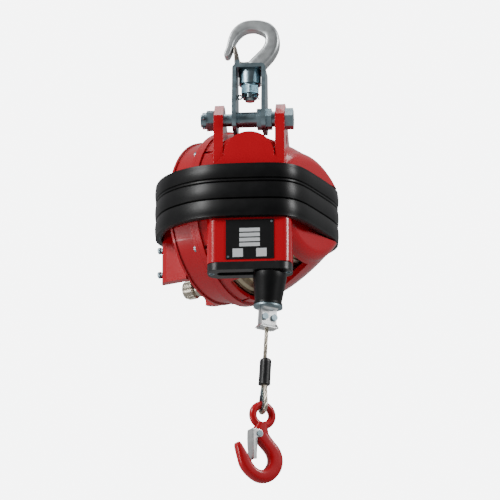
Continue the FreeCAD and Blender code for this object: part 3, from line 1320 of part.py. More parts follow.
doc.recompute()
for item in doc.Objects:
    if "Invalid" in item.State or "Error" in item.State:
        raise RuntimeError(f"{item.Name} failed: {item.State}")
os.makedirs("parts", exist_ok=True)
for item in sub_parts:
    if item.Shape.isNull() or not item.Shape.isValid() or not item.Shape.Solids:
        raise RuntimeError(f"{item.Label} has no sound shape")
for item in sub_parts:
    item.Shape.exportStep(f"parts/{item.Label}.step")
print(len(sub_parts), "sub-parts written")
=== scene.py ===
import json
import math

import bmesh
import bpy
from bpy.props import FloatProperty, FloatVectorProperty, IntProperty, PointerProperty
from mathutils import Matrix, Vector

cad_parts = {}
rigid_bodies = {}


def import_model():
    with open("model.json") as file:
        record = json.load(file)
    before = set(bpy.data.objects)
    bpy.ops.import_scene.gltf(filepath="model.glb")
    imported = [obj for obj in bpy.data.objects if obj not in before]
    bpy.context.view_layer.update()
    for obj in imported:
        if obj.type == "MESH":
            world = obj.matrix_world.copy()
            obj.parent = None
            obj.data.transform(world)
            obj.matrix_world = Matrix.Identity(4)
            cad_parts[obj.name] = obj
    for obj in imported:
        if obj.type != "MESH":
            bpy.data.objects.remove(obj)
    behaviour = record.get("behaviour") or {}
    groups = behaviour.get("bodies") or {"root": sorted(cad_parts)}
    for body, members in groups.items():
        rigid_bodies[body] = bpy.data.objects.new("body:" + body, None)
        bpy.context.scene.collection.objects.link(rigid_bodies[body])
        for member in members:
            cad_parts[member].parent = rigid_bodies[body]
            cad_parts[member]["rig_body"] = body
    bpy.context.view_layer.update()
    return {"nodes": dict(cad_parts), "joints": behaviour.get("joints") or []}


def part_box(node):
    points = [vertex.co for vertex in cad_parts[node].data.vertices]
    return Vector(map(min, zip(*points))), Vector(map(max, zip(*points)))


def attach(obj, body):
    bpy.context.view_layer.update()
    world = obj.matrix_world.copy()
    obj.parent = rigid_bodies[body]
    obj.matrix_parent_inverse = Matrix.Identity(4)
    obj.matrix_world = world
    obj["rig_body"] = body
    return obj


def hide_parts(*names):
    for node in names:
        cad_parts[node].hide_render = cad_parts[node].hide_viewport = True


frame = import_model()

bl_info = {
    "name": "Tool balancer",
    "version": (1, 0, 0),
    "blender": (4, 5, 0),
    "location": "View3D > Sidebar > Balancer",
    "description": "Dresses a spring balancer with its paint, plating, rubber and wire rope",
    "category": "Object",
}

MM = 0.001
WELD = 0.000002
# Angles in degrees from which an edge stays sharp
SHARP_ANGLE = 30
CAST_ANGLE = 34
NODES = frame["nodes"]
JOINTS = {joint["name"]: joint for joint in frame["joints"]}

# Frames of the object, from its joints
DRUM_AXIS = Vector(JOINTS["drum_spin"]["axis"])
DRUM_MIDDLE = Vector(JOINTS["drum_spin"]["pos_m"])
DRUM_REAR = Vector((0, 0, 1)).cross(DRUM_AXIS)
DRUM_FRAME = Matrix((
    (DRUM_AXIS.x, DRUM_REAR.x, 0, DRUM_MIDDLE.x),
    (DRUM_AXIS.y, DRUM_REAR.y, 0, DRUM_MIDDLE.y),
    (DRUM_AXIS.z, DRUM_REAR.z, 1, DRUM_MIDDLE.z),
    (0, 0, 0, 1),
))
# The rope's end hangs from the guide's underside, leans to the left and turns its loop aside
ROPE_LEAN = math.radians(3.4)
ROPE_TURN = math.radians(30)
GUIDE_UNDER = 320 * MM
REST_RIGHT = 25 * MM
END_FRAME = (
    Matrix.Translation((REST_RIGHT, 0, -GUIDE_UNDER))
    @ Matrix.Rotation(ROPE_LEAN, 4, "Y")
    @ Matrix.Rotation(ROPE_TURN, 4, "Z")
)
END_TURN = END_FRAME.to_3x3().to_4x4()
END_UP = END_FRAME.to_3x3() @ Vector((0, 0, 1))

# Rope end in its own frame: across the loop and up, in mm, as the route in the source runs
CLAMP_END = -72.2
ROPE_STEP = 5.4
ROPE_ROUTE = [
    (0, CLAMP_END), (0, -92), (0, -124), (0, -145.5),
    (4.9, -166.3), (6.4, -172.6), (3.4, -178.4), (-2.7, -180.7),
    (-8.8, -178.4), (-11.8, -172.6), (-10.3, -166.3),
    (-ROPE_STEP, -145.5), (-ROPE_STEP, -124), (-ROPE_STEP, -114.2),
]
ROPE_DIAMETER = 5 * MM


def linear(hex_colour):
    """An sRGB hex value as a linear colour."""
    values = [int(hex_colour[k:k + 2], 16) / 255 for k in (1, 3, 5)]
    return tuple(v / 12.92 if v <= 0.04045 else ((v + 0.055) / 1.055) ** 2.4 for v in values)


def opaque(colour):
    return (*colour, 1.0)


def add_node(tree, kind, settings=None, links=None):
    """A node with its settings, which are attributes or sockets, and its links."""
    node = tree.nodes.new(kind)
    for key, value in (settings or {}).items():
        if isinstance(key, int) or key in node.inputs:
            node.inputs[key].default_value = value
        else:
            setattr(node, key, value)
    for key, socket in (links or {}).items():
        tree.links.new(socket, node.inputs[key])
    return node


class BalancerSizes(bpy.types.PropertyGroup):
    """Sizes that the dressed balancer takes beside the frame's own"""

    edge_softness: FloatProperty(
        name="Edge softness", description="Rounding that paint and blasting leave on a casting's edges",
        default=0.9 * MM, unit="LENGTH")
    rope_lay: FloatProperty(
        name="Rope lay", description="Length in which a strand goes once round the rope",
        default=34 * MM, unit="LENGTH")
    rope_strands: IntProperty(
        name="Rope strands", description="Outer strands of the wire rope", default=6, min=3, max=9)
    rope_step: FloatProperty(
        name="Rope step", description="Distance between cross sections of the rope",
        default=1.4 * MM, unit="LENGTH")
    band_groove: FloatProperty(
        name="Band groove", description="Depth of the grooves in the rubber band",
        default=2.4 * MM, unit="LENGTH")
    knob_notches: IntProperty(
        name="Knob notches", description="Grip notches round the lock knob", default=20, min=6, max=60)
    studio_dim: FloatProperty(
        name="Tent in front", description="Light of the tent round the camera", default=0.13, min=0.0)
    studio_bright: FloatProperty(
        name="Tent at the sides", description="Light of the tent at the sides and behind",
        default=0.5, min=0.0)
    backdrop: FloatProperty(
        name="Backdrop", description="Light of the white backdrop", default=7.0, min=0.0)
    camera_distance: FloatProperty(
        name="Camera distance", description="From the camera to the middle of the balancer",
        default=5.0, unit="LENGTH")
    frame_width: FloatProperty(
        name="Frame width", description="Width of the picture at the balancer", default=0.622, unit="LENGTH")
    camera_azimuth: FloatProperty(
        name="Camera azimuth", description="Turn of the camera towards the balancer's right",
        default=math.radians(5), subtype="ANGLE", unit="ROTATION")
    camera_elevation: FloatProperty(
        name="Camera elevation", description="Height of the camera as an angle, negative from below",
        default=math.radians(-17.5), subtype="ANGLE", unit="ROTATION")


class BalancerColours(bpy.types.PropertyGroup):
    """Colours of the balancer's finishes"""

    paint: FloatVectorProperty(
        name="Paint", description="Enamel on the castings", subtype="COLOR", default=linear("#AE0518"))
    hook_paint: FloatVectorProperty(
        name="Hook paint", description="Powder coat on the load hook", subtype="COLOR",
        default=linear("#B00617"))
    zinc: FloatVectorProperty(
        name="Zinc", description="Bright zinc plating", subtype="COLOR", default=linear("#93A7AF"))
    forging: FloatVectorProperty(
        name="Forging", description="Plated steel forging", subtype="COLOR", default=linear("#CDD1D2"))
    rubber: FloatVectorProperty(
        name="Rubber", description="Band and buffer", subtype="COLOR", default=linear("#060607"))
    field: FloatVectorProperty(
        name="Bare field", description="Blank fields of the plate", subtype="COLOR",
        default=linear("#C3C6C8"))


def sizes():
    return bpy.context.scene.balancer_sizes


def colours():
    return bpy.context.scene.balancer_colours


# Materials

def new_material(name):
    """A material's tree with its shader and its object coordinates."""
    material = bpy.data.materials.new(name)
    material.use_nodes = True
    tree = material.node_tree
    tree.nodes.clear()
    shader = add_node(tree, "ShaderNodeBsdfPrincipled")
    add_node(tree, "ShaderNodeOutputMaterial", links={"Surface": shader.outputs["BSDF"]})
    place = add_node(tree, "ShaderNodeTexCoord")
    return material, tree, shader, place.outputs["Object"]


def mottle(tree, place, grain, pale, dark, shader, roughness):
    """Colour and gloss that vary a little from place to place, as on any real finish."""
    cloud = add_node(tree, "ShaderNodeTexNoise", {"Scale": 1 / grain, "Detail": 3.0}, {"Vector": place})
    blend = add_node(
        tree, "ShaderNodeMix", {"data_type": "RGBA", 6: opaque(dark), 7: opaque(pale)},
        {0: cloud.outputs["Fac"]})
    tree.links.new(blend.outputs[2], shader.inputs["Base Color"])
    gloss = add_node(
        tree, "ShaderNodeMapRange", {"To Min": roughness[0], "To Max": roughness[1]},
        {"Value": cloud.outputs["Fac"]})
    tree.links.new(gloss.outputs["Result"], shader.inputs["Roughness"])


def surface_bump(tree, place, grain, depth, shader, softness):
    """A fine relief of the given grain and depth, over edges softened by paint or plating."""
    relief = add_node(tree, "ShaderNodeTexNoise", {"Scale": 1 / grain, "Detail": 2.0}, {"Vector": place})
    bump = add_node(
        tree, "ShaderNodeBump", {"Strength": 1.0, "Distance": depth}, {"Height": relief.outputs["Fac"]})
    if softness:
        soft = add_node(tree, "ShaderNodeBevel", {"samples": 6, "Radius": softness})
        tree.links.new(soft.outputs["Normal"], bump.inputs["Normal"])
    tree.links.new(bump.outputs["Normal"], shader.inputs["Normal"])


def shade(colour, factor):
    return tuple(min(1.0, c * factor) for c in colour)


def surface(name, tones, grain, roughness, relief=None, softness=0.0, constants=None):
    """A material from its two tones and their grain, its range of gloss, its relief as grain and
    depth, the rounding of its edges and the shader's own constants."""
    material, tree, shader, place = new_material(name)
    mottle(tree, place, grain, *tones, shader, roughness)
    if relief:
        surface_bump(tree, place, *relief, shader, softness)
    for label, value in (constants or {}).items():
        shader.inputs[label].default_value = value
    return material


def red_enamel():
    """Alkyd enamel sprayed on sand cast aluminium: deep gloss over an orange peel of 2.5 mm."""
    paint = colours().paint
    return surface(
        "red enamel on cast aluminium", (shade(paint, 1.04), shade(paint, 0.94)), 30 * MM, (0.22, 0.3),
        (2.5 * MM, 0.005 * MM), sizes().edge_softness,
        {"Specular IOR Level": 0.3, "Coat Weight": 0.4, "Coat Roughness": 0.05})


def red_powder():
    """Powder coat on a forged steel hook: thick, glossy and slightly wavy."""
    paint = colours().hook_paint
    return surface(
        "red powder coat on forged steel", (shade(paint, 1.08), shade(paint, 0.85)), 12 * MM, (0.26, 0.4),
        (1.8 * MM, 0.02 * MM),
        constants={"Specular IOR Level": 0.3, "Coat Weight": 0.2, "Coat Roughness": 0.12})


def metal(name, colour, grain, roughness, depth=0.008 * MM):
    """Steel, bare or plated: metallic, a little cloudy, waved by its rolling or forging."""
    return surface(
        name, (shade(colour, 1.1), shade(colour, 0.72)), grain, roughness, (3 * MM, depth),
        constants={"Metallic": 1.0})


def bright_zinc():
    """Blue passivated zinc on stamped and turned steel, bluish and fairly bright."""
    return metal("blue passivated zinc", colours().zinc, 7 * MM, (0.3, 0.42))


def pressed_sheet():
    """Pressed steel sheet in bright clear zinc, nearly white where it catches light."""
    return metal("bright zinc plated sheet", linear("#F0F1F1"), 5 * MM, (0.26, 0.38), 0.01 * MM)


def forged_zinc():
    """Zinc over a drop forging, whose scale leaves the surface finely pitted."""
    return metal("zinc plated drop forging", colours().forging, 9 * MM, (0.34, 0.48), 0.1 * MM)


def spring_steel():
    """Cold rolled spring strip, left bare: warm grey with a dull shine."""
    return metal("cold rolled spring steel", linear("#9C948A"), 5 * MM, (0.28, 0.45))


def turned_steel():
    """Free cutting steel off the lathe, oiled."""
    return metal("turned steel", linear("#A6A6A4"), 6 * MM, (0.25, 0.4))


def nickel():
    """Dull nickel on a turned and milled knob."""
    return metal("nickel plated steel", linear("#BDB6A8"), 4 * MM, (0.2, 0.34))


def drum_casting():
    """Aluminium casting turned on its cone, with rope wear that has browned the grooves."""
    return surface(
        "turned aluminium casting", (linear("#C2B79F"), linear("#8D806A")), 8 * MM, (0.3, 0.5),
        (0.7 * MM, 0.03 * MM), 0.5 * MM, {"Metallic": 1.0})


def black_rubber():
    """Extruded EPDM rubber: black with a soft grey sheen and a fine die grain."""
    rubber = colours().rubber
    return surface(
        "extruded black rubber", (shade(rubber, 1.6), rubber), 14 * MM, (0.3, 0.46),
        (0.8 * MM, 0.012 * MM), constants={"Specular IOR Level": 0.26})


def black_nylon():
    """Injection moulded polyamide with a fine spark eroded texture."""
    return surface(
        "moulded black polyamide", (linear("#111213"), linear("#0A0A0B")), 10 * MM, (0.3, 0.42),
        (0.9 * MM, 0.012 * MM), 0.8 * MM)


def plate_black():
    """Anodised aluminium sheet dyed black, satin."""
    return surface(
        "black anodised plate", (linear("#0B0B0C"), linear("#070708")), 9 * MM, (0.28, 0.36),
        (0.6 * MM, 0.008 * MM))


def plate_bare():
    """Fields of the plate left undyed: pale satin aluminium oxide."""
    field = colours().field
    return surface(
        "undyed anodised field", (field, shade(field, 0.85)), 5 * MM, (0.35, 0.5), (0.6 * MM, 0.008 * MM))


def wire_rope():
    """Galvanised wire, drawn and laid: each strand shows its slanting wires."""
    material, tree, shader, place = new_material("galvanised rope wire")
    shader.inputs["Metallic"].default_value = 1.0
    mottle(tree, place, 3 * MM, linear("#E0D8CA"), linear("#9C9484"), shader, (0.32, 0.5))
    # Wires of a strand, drawn 0.5 mm wide and slanting across it
    wires = add_node(
        tree, "ShaderNodeTexWave",
        {"bands_direction": "DIAGONAL", "Scale": 1 / (3.2 * MM), "Distortion": 0.4}, {"Vector": place})
    bump = add_node(
        tree, "ShaderNodeBump", {"Strength": 0.6, "Distance": 0.08 * MM}, {"Height": wires.outputs["Fac"]})
    tree.links.new(bump.outputs["Normal"], shader.inputs["Normal"])
    return material


def black_sleeve():
    """Pressed sleeve under a black heat shrink skin, with faint wrinkles."""
    return surface(
        "black shrink sleeve", (linear("#0F0F10"), linear("#080809")), 6 * MM, (0.34, 0.46),
        (3 * MM, 0.12 * MM), 0.8 * MM)


def pale_ground():
    """Painted board, matt and nearly white."""
    return surface("pale painted board", (linear("#F2F2F1"), linear("#ECECEB")), 400 * MM, (0.8, 0.9))


FINISHES = {
    "enamel": red_enamel, "powder": red_powder, "zinc": bright_zinc, "pressed": pressed_sheet,
    "forging": forged_zinc, "spring": spring_steel, "turned": turned_steel, "nickel": nickel,
    "drum": drum_casting, "rubber": black_rubber, "nylon": black_nylon, "plate": plate_black,
    "field": plate_bare, "rope": wire_rope, "sleeve": black_sleeve, "ground": pale_ground,
}
made_materials = {}


def finish(name):
    """The material of a finish, made when it is first asked for."""
    if name not in made_materials:
        made_materials[name] = FINISHES[name]()
    return made_materials[name]


# Pieces

def add_piece(name, mesh, finish_name, body, *replaced):
    """A mesh in the object's frame as a piece on a body, in place of CAD nodes."""
    piece = bpy.data.objects.new(name, mesh)
    bpy.context.scene.collection.objects.link(piece)
    mesh.materials.clear()
    mesh.materials.append(finish(finish_name))
    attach(piece, body)
    if replaced:
        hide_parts(*replaced)
    return piece


def body_of(node):
    return NODES[node]["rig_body"]


def corners_of(node):
    return [v.co for v in NODES[node].data.vertices]


def mesh_of(name, shell):
    """A shell's faces as a mesh, the shell freed."""
    mesh = bpy.data.meshes.new(name)
    shell.to_mesh(mesh)
    shell.free()
    return mesh


def joined_shell(node):
    """A copy of a CAD node's faces with their corners joined."""
    shell = bmesh.new()
    shell.from_mesh(NODES[node].data)
    bmesh.ops.remove_doubles(shell, verts=shell.verts, dist=WELD)
    return shell


def welded(node):
    """A CAD node's mesh with its corners joined, without the normals it came with."""
    shell = joined_shell(node)
    shell.verts.index_update()
    mesh = bpy.data.meshes.new(node)
    faces = [[v.index for v in f.verts] for f in shell.faces]
    mesh.from_pydata([v.co.copy() for v in shell.verts], [], faces)
    shell.free()
    return mesh


def soften(piece, angle):
    """Smooth shading up to the given angle, with flat faces kept flat."""
    piece.data.shade_smooth()
    piece.data.set_sharp_from_angle(angle=math.radians(angle))
    normals = piece.modifiers.new("normals", "WEIGHTED_NORMAL")
    normals.keep_sharp = True


def skin(node, finish_name, angle=SHARP_ANGLE):
    """A CAD node's own shape, joined and shaded, in its finish."""
    piece = add_piece(node + "_skin", welded(node), finish_name, body_of(node), node)
    soften(piece, angle)
    return piece


def skins(finish_name, *nodes):
    for node in nodes:
        skin(node, finish_name)


def solids(node):
    """The separate solids of a node, each as a list of its corners."""
    shell = joined_shell(node)
    left = set(shell.verts)
    groups = []
    while left:
        queue = [left.pop()]
        group = []
        while queue:
            corner = queue.pop()
            group.append(corner.co.copy())
            for edge in corner.link_edges:
                other = edge.other_vert(corner)
                if other in left:
                    left.discard(other)
                    queue.append(other)
        groups.append(group)
    shell.free()

    def middle(group):
        return round(sum(c.x for c in group) / len(group), 5), sum(c.z for c in group) / len(group)

    return sorted(groups, key=middle)


def span_along(corners, direction):
    """Lowest and highest place of corners along a direction, and their middle across it."""
    places = [c.dot(direction) for c in corners]
    low = min(places)
    high = max(places)
    middle = Vector((0, 0, 0))
    for k in range(3):
        values = [c[k] for c in corners]
        middle[k] = (min(values) + max(values)) / 2
    middle += direction * ((low + high) / 2 - middle.dot(direction))
    return low, high, middle


def angles(count, start=0.0):
    """Angles evenly spaced over a whole turn."""
    return [2 * math.pi * (k + start) / count for k in range(count)]


def round_ring(angle):
    return 1.0


def hexagon_ring(angle):
    """Radius of a hexagon of unit inner radius at an angle."""
    sixth = math.pi / 3
    return 1 / math.cos((angle + sixth / 2) % sixth - sixth / 2)


def join_rings(shell, rings, around=False):
    """Faces between each ring of corners and the next, and from the last to the first if asked."""
    for k in range(len(rings) if around else len(rings) - 1):
        ring, following = rings[k], rings[(k + 1) % len(rings)]
        for j in range(len(ring)):
            after = (j + 1) % len(ring)
            shell.faces.new((ring[j], ring[after], following[after], following[j]))


def turned_mesh(name, outline, steps=48):
    """A closed turned shape round Z from rings of (radius, height, ring shape), poles closed."""
    shell = bmesh.new()
    rings = []
    for radius, height, ring_shape in outline:
        ring = []
        for angle in angles(steps):
            reach = radius * ring_shape(angle)
            ring.append(shell.verts.new((reach * math.cos(angle), reach * math.sin(angle), height)))
        rings.append(ring)
    join_rings(shell, rings)
    shell.faces.new(list(reversed(rings[0])))
    shell.faces.new(rings[-1])
    bmesh.ops.recalc_face_normals(shell, faces=shell.faces)
    return mesh_of(name, shell)


def curved(a, b, c, d, t):
    """The place at a share t between b and c on a smooth curve through four points."""
    bend = 2 * a - 5 * b + 4 * c - d
    twist = 3 * b - a - 3 * c + d
    return 0.5 * (2 * b + (c - a) * t + bend * t ** 2 + twist * t ** 3)


def smooth_loop(points, steps=7):
    """A closed smooth outline through given points in mm."""
    loop = []
    count = len(points)
    for k in range(count):
        near = [Vector(points[(k + j) % count]) * MM for j in (-1, 0, 1, 2)]
        loop += [curved(*near, step / steps) for step in range(steps)]
    return loop


def round_loop(across, up, radius, count=24):
    """A circle in mm as an outline."""
    return [Vector((across + radius * math.cos(t), up + radius * math.sin(t))) * MM for t in angles(count)]


def add_slab(shell, loop, front, rear, rim, place=None, steps=2):
    """A slab of an outline in XZ between two depths along Y in mm, its rims rounded."""
    place = place or Matrix()
    front, rear, rim = front * MM, rear * MM, rim * MM
    count = len(loop)
    area = sum(loop[k - 1].x * loop[k].y - loop[k].x * loop[k - 1].y for k in range(count))
    side = 1 if area > 0 else -1
    normals = []
    for k in range(count):
        run = loop[(k + 1) % count] - loop[k - 1]
        normals.append(Vector((run.y, -run.x)).normalized() * side)
    levels = []
    for step in range(steps + 1):
        turn = math.pi / 2 * step / steps
        levels.append((rim * (1 - math.sin(turn)), front + rim * (1 - math.cos(turn))))
    levels += [(inset, rear - (depth - front)) for inset, depth in reversed(levels)]
    rings = []
    for inset, depth in levels:
        rings.append([
            shell.verts.new(place @ Vector((p.x - n.x * inset, depth, p.y - n.y * inset)))
            for p, n in zip(loop, normals)
        ])
    join_rings(shell, rings)
    caps = [shell.faces.new(rings[0]), shell.faces.new(list(reversed(rings[-1])))]
    bmesh.ops.triangulate(shell, faces=caps)


def shell_piece(name, shell, finish_name, body, *replaced, angle=36.0):
    """A finished shell as a piece, its faces turned outwards and shaded."""
    bmesh.ops.recalc_face_normals(shell, faces=shell.faces)
    piece = add_piece(name, mesh_of(name, shell), finish_name, body, *replaced)
    soften(piece, angle)
    return piece


def turned_rings(outline):
    """Rings of a turned outline in mm; a third value names a ring that isn't round."""
    return [(radius * MM, height * MM, *(shape or [round_ring])) for radius, height, *shape in outline]


def threaded(radius, pitch, low, high):
    """Outline of a threaded rod in mm, pointed end at low."""
    outline = [(0.55 * radius, low), (0.84 * radius, low + 0.35 * pitch)]
    height = low + pitch
    while height < high - pitch:
        outline += [(0.88 * radius, height), (radius, height + 0.45 * pitch)]
        height += pitch
    return outline + [(radius, high)]


def evaluated(piece):
    """The piece's mesh with its modifiers applied and taken off."""
    depsgraph = bpy.context.evaluated_depsgraph_get()
    mesh = bpy.data.meshes.new_from_object(piece.evaluated_get(depsgraph), depsgraph=depsgraph)
    piece.modifiers.clear()
    return mesh


def line_mesh(name, points):
    """A line of edges through points, for a tree to follow."""
    mesh = bpy.data.meshes.new(name)
    mesh.from_pydata(points, [(k, k + 1) for k in range(len(points) - 1)], [])
    return mesh


# Forgings

# Spine of the suspension hook from its neck to its tip: across, up and half its width, in mm
SUSPENSION_HOOK = [
    (6.6, -49.5, 10.4), (8.4, -47, 10.4), (14.4, -40.6, 10.2), (22.6, -31.5, 9.8), (28, -21, 9.4),
    (28.4, -10, 8.9), (25, -2, 8.6), (18.6, 3, 8.3), (7, 6.4, 7.1), (-6.3, 5, 6.7), (-16.2, -2, 6.3),
    (-22, -11.8, 5.1), (-25.2, -22.5, 4.3), (-28, -30, 4.1), (-29.6, -33.6, 3.2), (-30.4, -35.4, 1.2),
]
# Lug for the gate on the hook's neck, and the gate's own cheeks and web, in the hook's XZ plane
GATE_LUG = [
    (-20, -44), (-18.6, -40.8), (-15.6, -39.6), (-9, -41.4), (2, -41), (4, -45), (2, -48.3), (-8, -48.4),
    (-16, -48.4), (-19, -47.2),
]
GATE_CHEEK = [
    (-12.2, -46.8), (-11.8, -43), (-14.4, -32), (-16.6, -23), (-18.4, -21.6), (-20.2, -22.6), (-19.8, -32),
    (-19.4, -43), (-18.4, -47), (-15.4, -48.2),
]
GATE_WEB = [(-14.6, -33), (-16.6, -23), (-18.4, -21.6), (-20.2, -22.6), (-19.8, -33)]
# Spine of the load hook in its own frame, from its shank to its tip
LOAD_HOOK = [
    (-0.6, -10.5, 6.5), (-1, -15, 8), (-1.4, -20, 9.6), (-0.6, -25.6, 9.8), (5, -32, 9), (12, -38.6, 8.8),
    (17.6, -45, 9.3), (20.6, -54, 9.6), (19, -64.2, 9.4), (11.6, -74, 8.7), (1, -77, 8), (-9.7, -73.1, 7.4),
    (-18.2, -65, 7.7), (-23.4, -55.4, 6.6), (-27.8, -47.4, 4.9), (-30.4, -42.4, 3.6), (-31.8, -39.2, 1.6),
]
LOAD_EYE_RADIUS = 12.9 * MM
LOAD_EYE_BAR = 4.8 * MM
# Latch of the load hook in the hook's frame: its rivet, its cheeks and its web
LATCH_RIVET = (-5.8, -25.3)
LATCH_CHEEK = [
    (-15.2, -21), (-11, -20.2), (-6, -20.2), (-2.2, -22), (-0.8, -25.3), (-2.2, -28.6), (-5.8, -30.2),
    (-9.4, -31), (-10, -38), (-8.6, -48), (-7.2, -56.4), (-9.2, -58), (-12, -56.8), (-13.2, -46),
    (-14.4, -34),
]
LATCH_WEB = [
    (-15.4, -21), (-13.8, -20.8), (-13, -34), (-11.4, -48), (-10.4, -57.4), (-12, -57), (-13.2, -47),
    (-14.8, -34),
]


def along_spine(spine, steps):
    """Places, directions and half widths evened out along a spine, in metres."""
    count = len(spine)
    stations = []
    for k in range(count - 1):
        near = [Vector(spine[min(max(k + j, 0), count - 1)]) * MM for j in (-1, 0, 1, 2)]
        stations += [curved(*near, step / steps) for step in range(steps + (k == count - 2))]
    directions = []
    for k in range(len(stations)):
        run = stations[min(k + 1, len(stations) - 1)] - stations[max(k - 1, 0)]
        directions.append(Vector((run.x, run.y)).normalized())
    return stations, directions


def add_forging(shell, spine, half_thick, flatness, place=None):
    """A forged bar along a spine in XZ, drawn out to its tip. Its section is a superellipse, whose
    power says how flat the faces are between the rounded edges."""
    place = place or Matrix()
    stations, directions = along_spine(spine, steps=5)
    rings = []
    for station, direction in zip(stations, directions):
        across = Vector((direction.y, 0, -direction.x))
        wide = max(station.z, 0.3 * MM)
        thick = min(half_thick * MM, 0.45 * half_thick * MM + 1.5 * wide)
        ring = []
        for turn in angles(32, 0.5):
            out, deep = (
                math.copysign(abs(part) ** (2 / flatness), part) * reach
                for part, reach in ((math.cos(turn), wide), (math.sin(turn), thick)))
            ring.append(shell.verts.new(place @ (Vector((station.x, deep, station.y)) + across * out)))
        rings.append(ring)
    join_rings(shell, rings)
    shell.faces.new(rings[0])
    shell.faces.new(list(reversed(rings[-1])))


def suspension_hook_shell():
    """The forged bowl and neck, its gate lug and its threaded shank."""
    shell = bmesh.new()
    add_forging(shell, SUSPENSION_HOOK, 10, 5)
    add_slab(shell, smooth_loop(GATE_LUG), -3.2, 3.2, 0.6)
    shank = threaded(7, 2, -94.4, -74) + [(7, -46), (4, -45)]
    shell.from_mesh(turned_mesh("shank", turned_rings(shank)))
    return shell


def hook_frame():
    """Frame of the load hook: its eye's middle, from the latch rivet that the joint gives."""
    across, up = LATCH_RIVET
    rivet = Vector(JOINTS["latch_pivot"]["pos_m"])
    return Matrix.Translation(rivet - END_TURN @ Vector((across, 0, up)) * MM) @ END_TURN


def load_hook_shell():
    """The forged bowl with well rounded edges, and its round eye."""
    shell = bmesh.new()
    place = hook_frame()
    add_forging(shell, LOAD_HOOK, 6.5, 3.2, place)
    rings = []
    for turn in angles(48):
        outwards = Vector((math.cos(turn), 0, math.sin(turn)))
        ring = []
        for lift in angles(20):
            corner = outwards * (LOAD_EYE_RADIUS + LOAD_EYE_BAR * math.cos(lift))
            corner.y = LOAD_EYE_BAR * math.sin(lift)
            ring.append(shell.verts.new(place @ corner))
        rings.append(ring)
    join_rings(shell, rings, around=True)
    return shell


def gate_shell():
    """Spring gate of the suspension hook: a flat bar with a rounded end over its rivet."""
    shell = bmesh.new()
    for front in (-8.2, 3.6):
        add_slab(shell, smooth_loop(GATE_CHEEK, 4), front, front + 4.6, 0.8, steps=3)
    add_slab(shell, smooth_loop(GATE_WEB, 5), -8, 8, 0.8, steps=3)
    return shell


def latch_shell():
    """Folded sheet latch: two cheeks with round ears on the rivet, and a narrow web between them."""
    shell = bmesh.new()
    place = hook_frame()
    for front in (-8.3, 6.9):
        add_slab(shell, smooth_loop(LATCH_CHEEK, 5), front, front + 1.4, 0.5, place)
    add_slab(shell, smooth_loop(LATCH_WEB, 4), -8.2, 8.2, 0.4, place)
    for front in (-9.4, 8.2):
        add_slab(shell, round_loop(*LATCH_RIVET, 3.6), front, front + 1.2, 0.5, place)
    return shell


def sleeve_shell():
    """Drawn sleeve over both ropes: an oblong section with a domed top and a rolled lower end."""
    low, high, middle = span_along(corners_of("rope_sleeve"), END_UP)
    place = Matrix.Translation(middle) @ END_TURN
    half = (high - low) / 2
    wide = 6.9 * MM
    deep = 6.2 * MM
    straight = 1.6 * MM
    levels = [
        (0.9, -half), (1.02, -half + 0.8 * MM), (1.0, -half + 2 * MM), (0.98, 0), (0.98, half - 5 * MM),
        (0.95, half - 2.6 * MM), (0.84, half - 1 * MM), (0.62, half), (0.45, half),
    ]
    shell = bmesh.new()
    rings = []
    for share, height in levels:
        ring = []
        for turn in angles(40):
            aside = deep * math.sin(turn) + math.copysign(straight, math.sin(turn))
            corner = Vector((share * wide * math.cos(turn), share * aside, height))
            ring.append(shell.verts.new(place @ corner))
        rings.append(ring)
    join_rings(shell, rings)
    shell.faces.new(rings[0])
    shell.faces.new(rings[-1])
    return shell


def clamp_lips_shell():
    """Flared lips of the pressed clamp halves below their screws."""
    corners = corners_of("rope_clamp")
    low, high, middle = span_along(corners, END_UP)
    unturned = END_TURN.inverted()
    reach = max(abs((unturned @ (corner - middle)).x) for corner in corners) / MM
    place = Matrix.Translation(middle) @ END_TURN
    drop = (low - high) / 2 / MM
    # One lip's outline, outwards from the clamp's side and upwards from its lower end, in mm
    outline = [(-0.6, 5), (0.5, 4), (2.6, 0.9), (2.2, 0.2), (-0.6, 2.4)]
    shell = bmesh.new()
    for side in (-1, 1):
        lip = [Vector((side * (reach + out), drop + up)) * MM for out, up in outline]
        add_slab(shell, lip, -8.6, 8.6, 0.3, place)
    return shell


def lock_axis_place(node):
    """A frame on a lock piece's own axis, Z pointing away from the case, and the piece's length."""
    direction = -DRUM_AXIS
    low, high, middle = span_along(corners_of(node), direction)
    start = middle + direction * (low - middle.dot(direction))
    turned = direction.to_track_quat("Z", "Y").to_matrix().to_4x4()
    return Matrix.Translation(start) @ turned, high - low


def grip_ring(angle):
    """Radius of the notched grip at an angle."""
    share = (angle * sizes().knob_notches / (2 * math.pi)) % 1
    return 0.93 if share < 0.34 else 1.0


def knob_shell():
    """Pull knob: a notched head, a neck groove and a plain collar on its stem."""
    place, reach = lock_axis_place("lock_knob")
    top = reach / MM + 3.6
    wide = 12.6
    outline = [
        (3.4, 0), (3.4, top - 24), (9.4, top - 24), (10.4, top - 23), (10.4, top - 18.6), (9.6, top - 18),
        (9.2, top - 16.2), (wide - 0.8, top - 15.6), (wide, top - 14.6, grip_ring),
        (wide, top - 4.6, grip_ring), (wide - 0.9, top - 3.4), (wide - 1.6, top - 2.6),
        (wide - 1.6, top - 0.8), (wide - 2.6, top), (6.2, top), (5.6, top - 1.2), (2, top - 1.4),
    ]
    mesh = turned_mesh("knob", turned_rings(outline), 160)
    mesh.transform(place)
    shell = bmesh.new()
    shell.from_mesh(mesh)
    return shell


# Castings

BAND_HALF = 35 * MM
# The cover's swelling: its height, where it starts along X, its run in X and its fade in Z
COVER_SWELL = 9 * MM
COVER_START = 54 * MM
COVER_RUN = 44 * MM
COVER_FADE = 62 * MM
COVER_FACET = 8 * MM
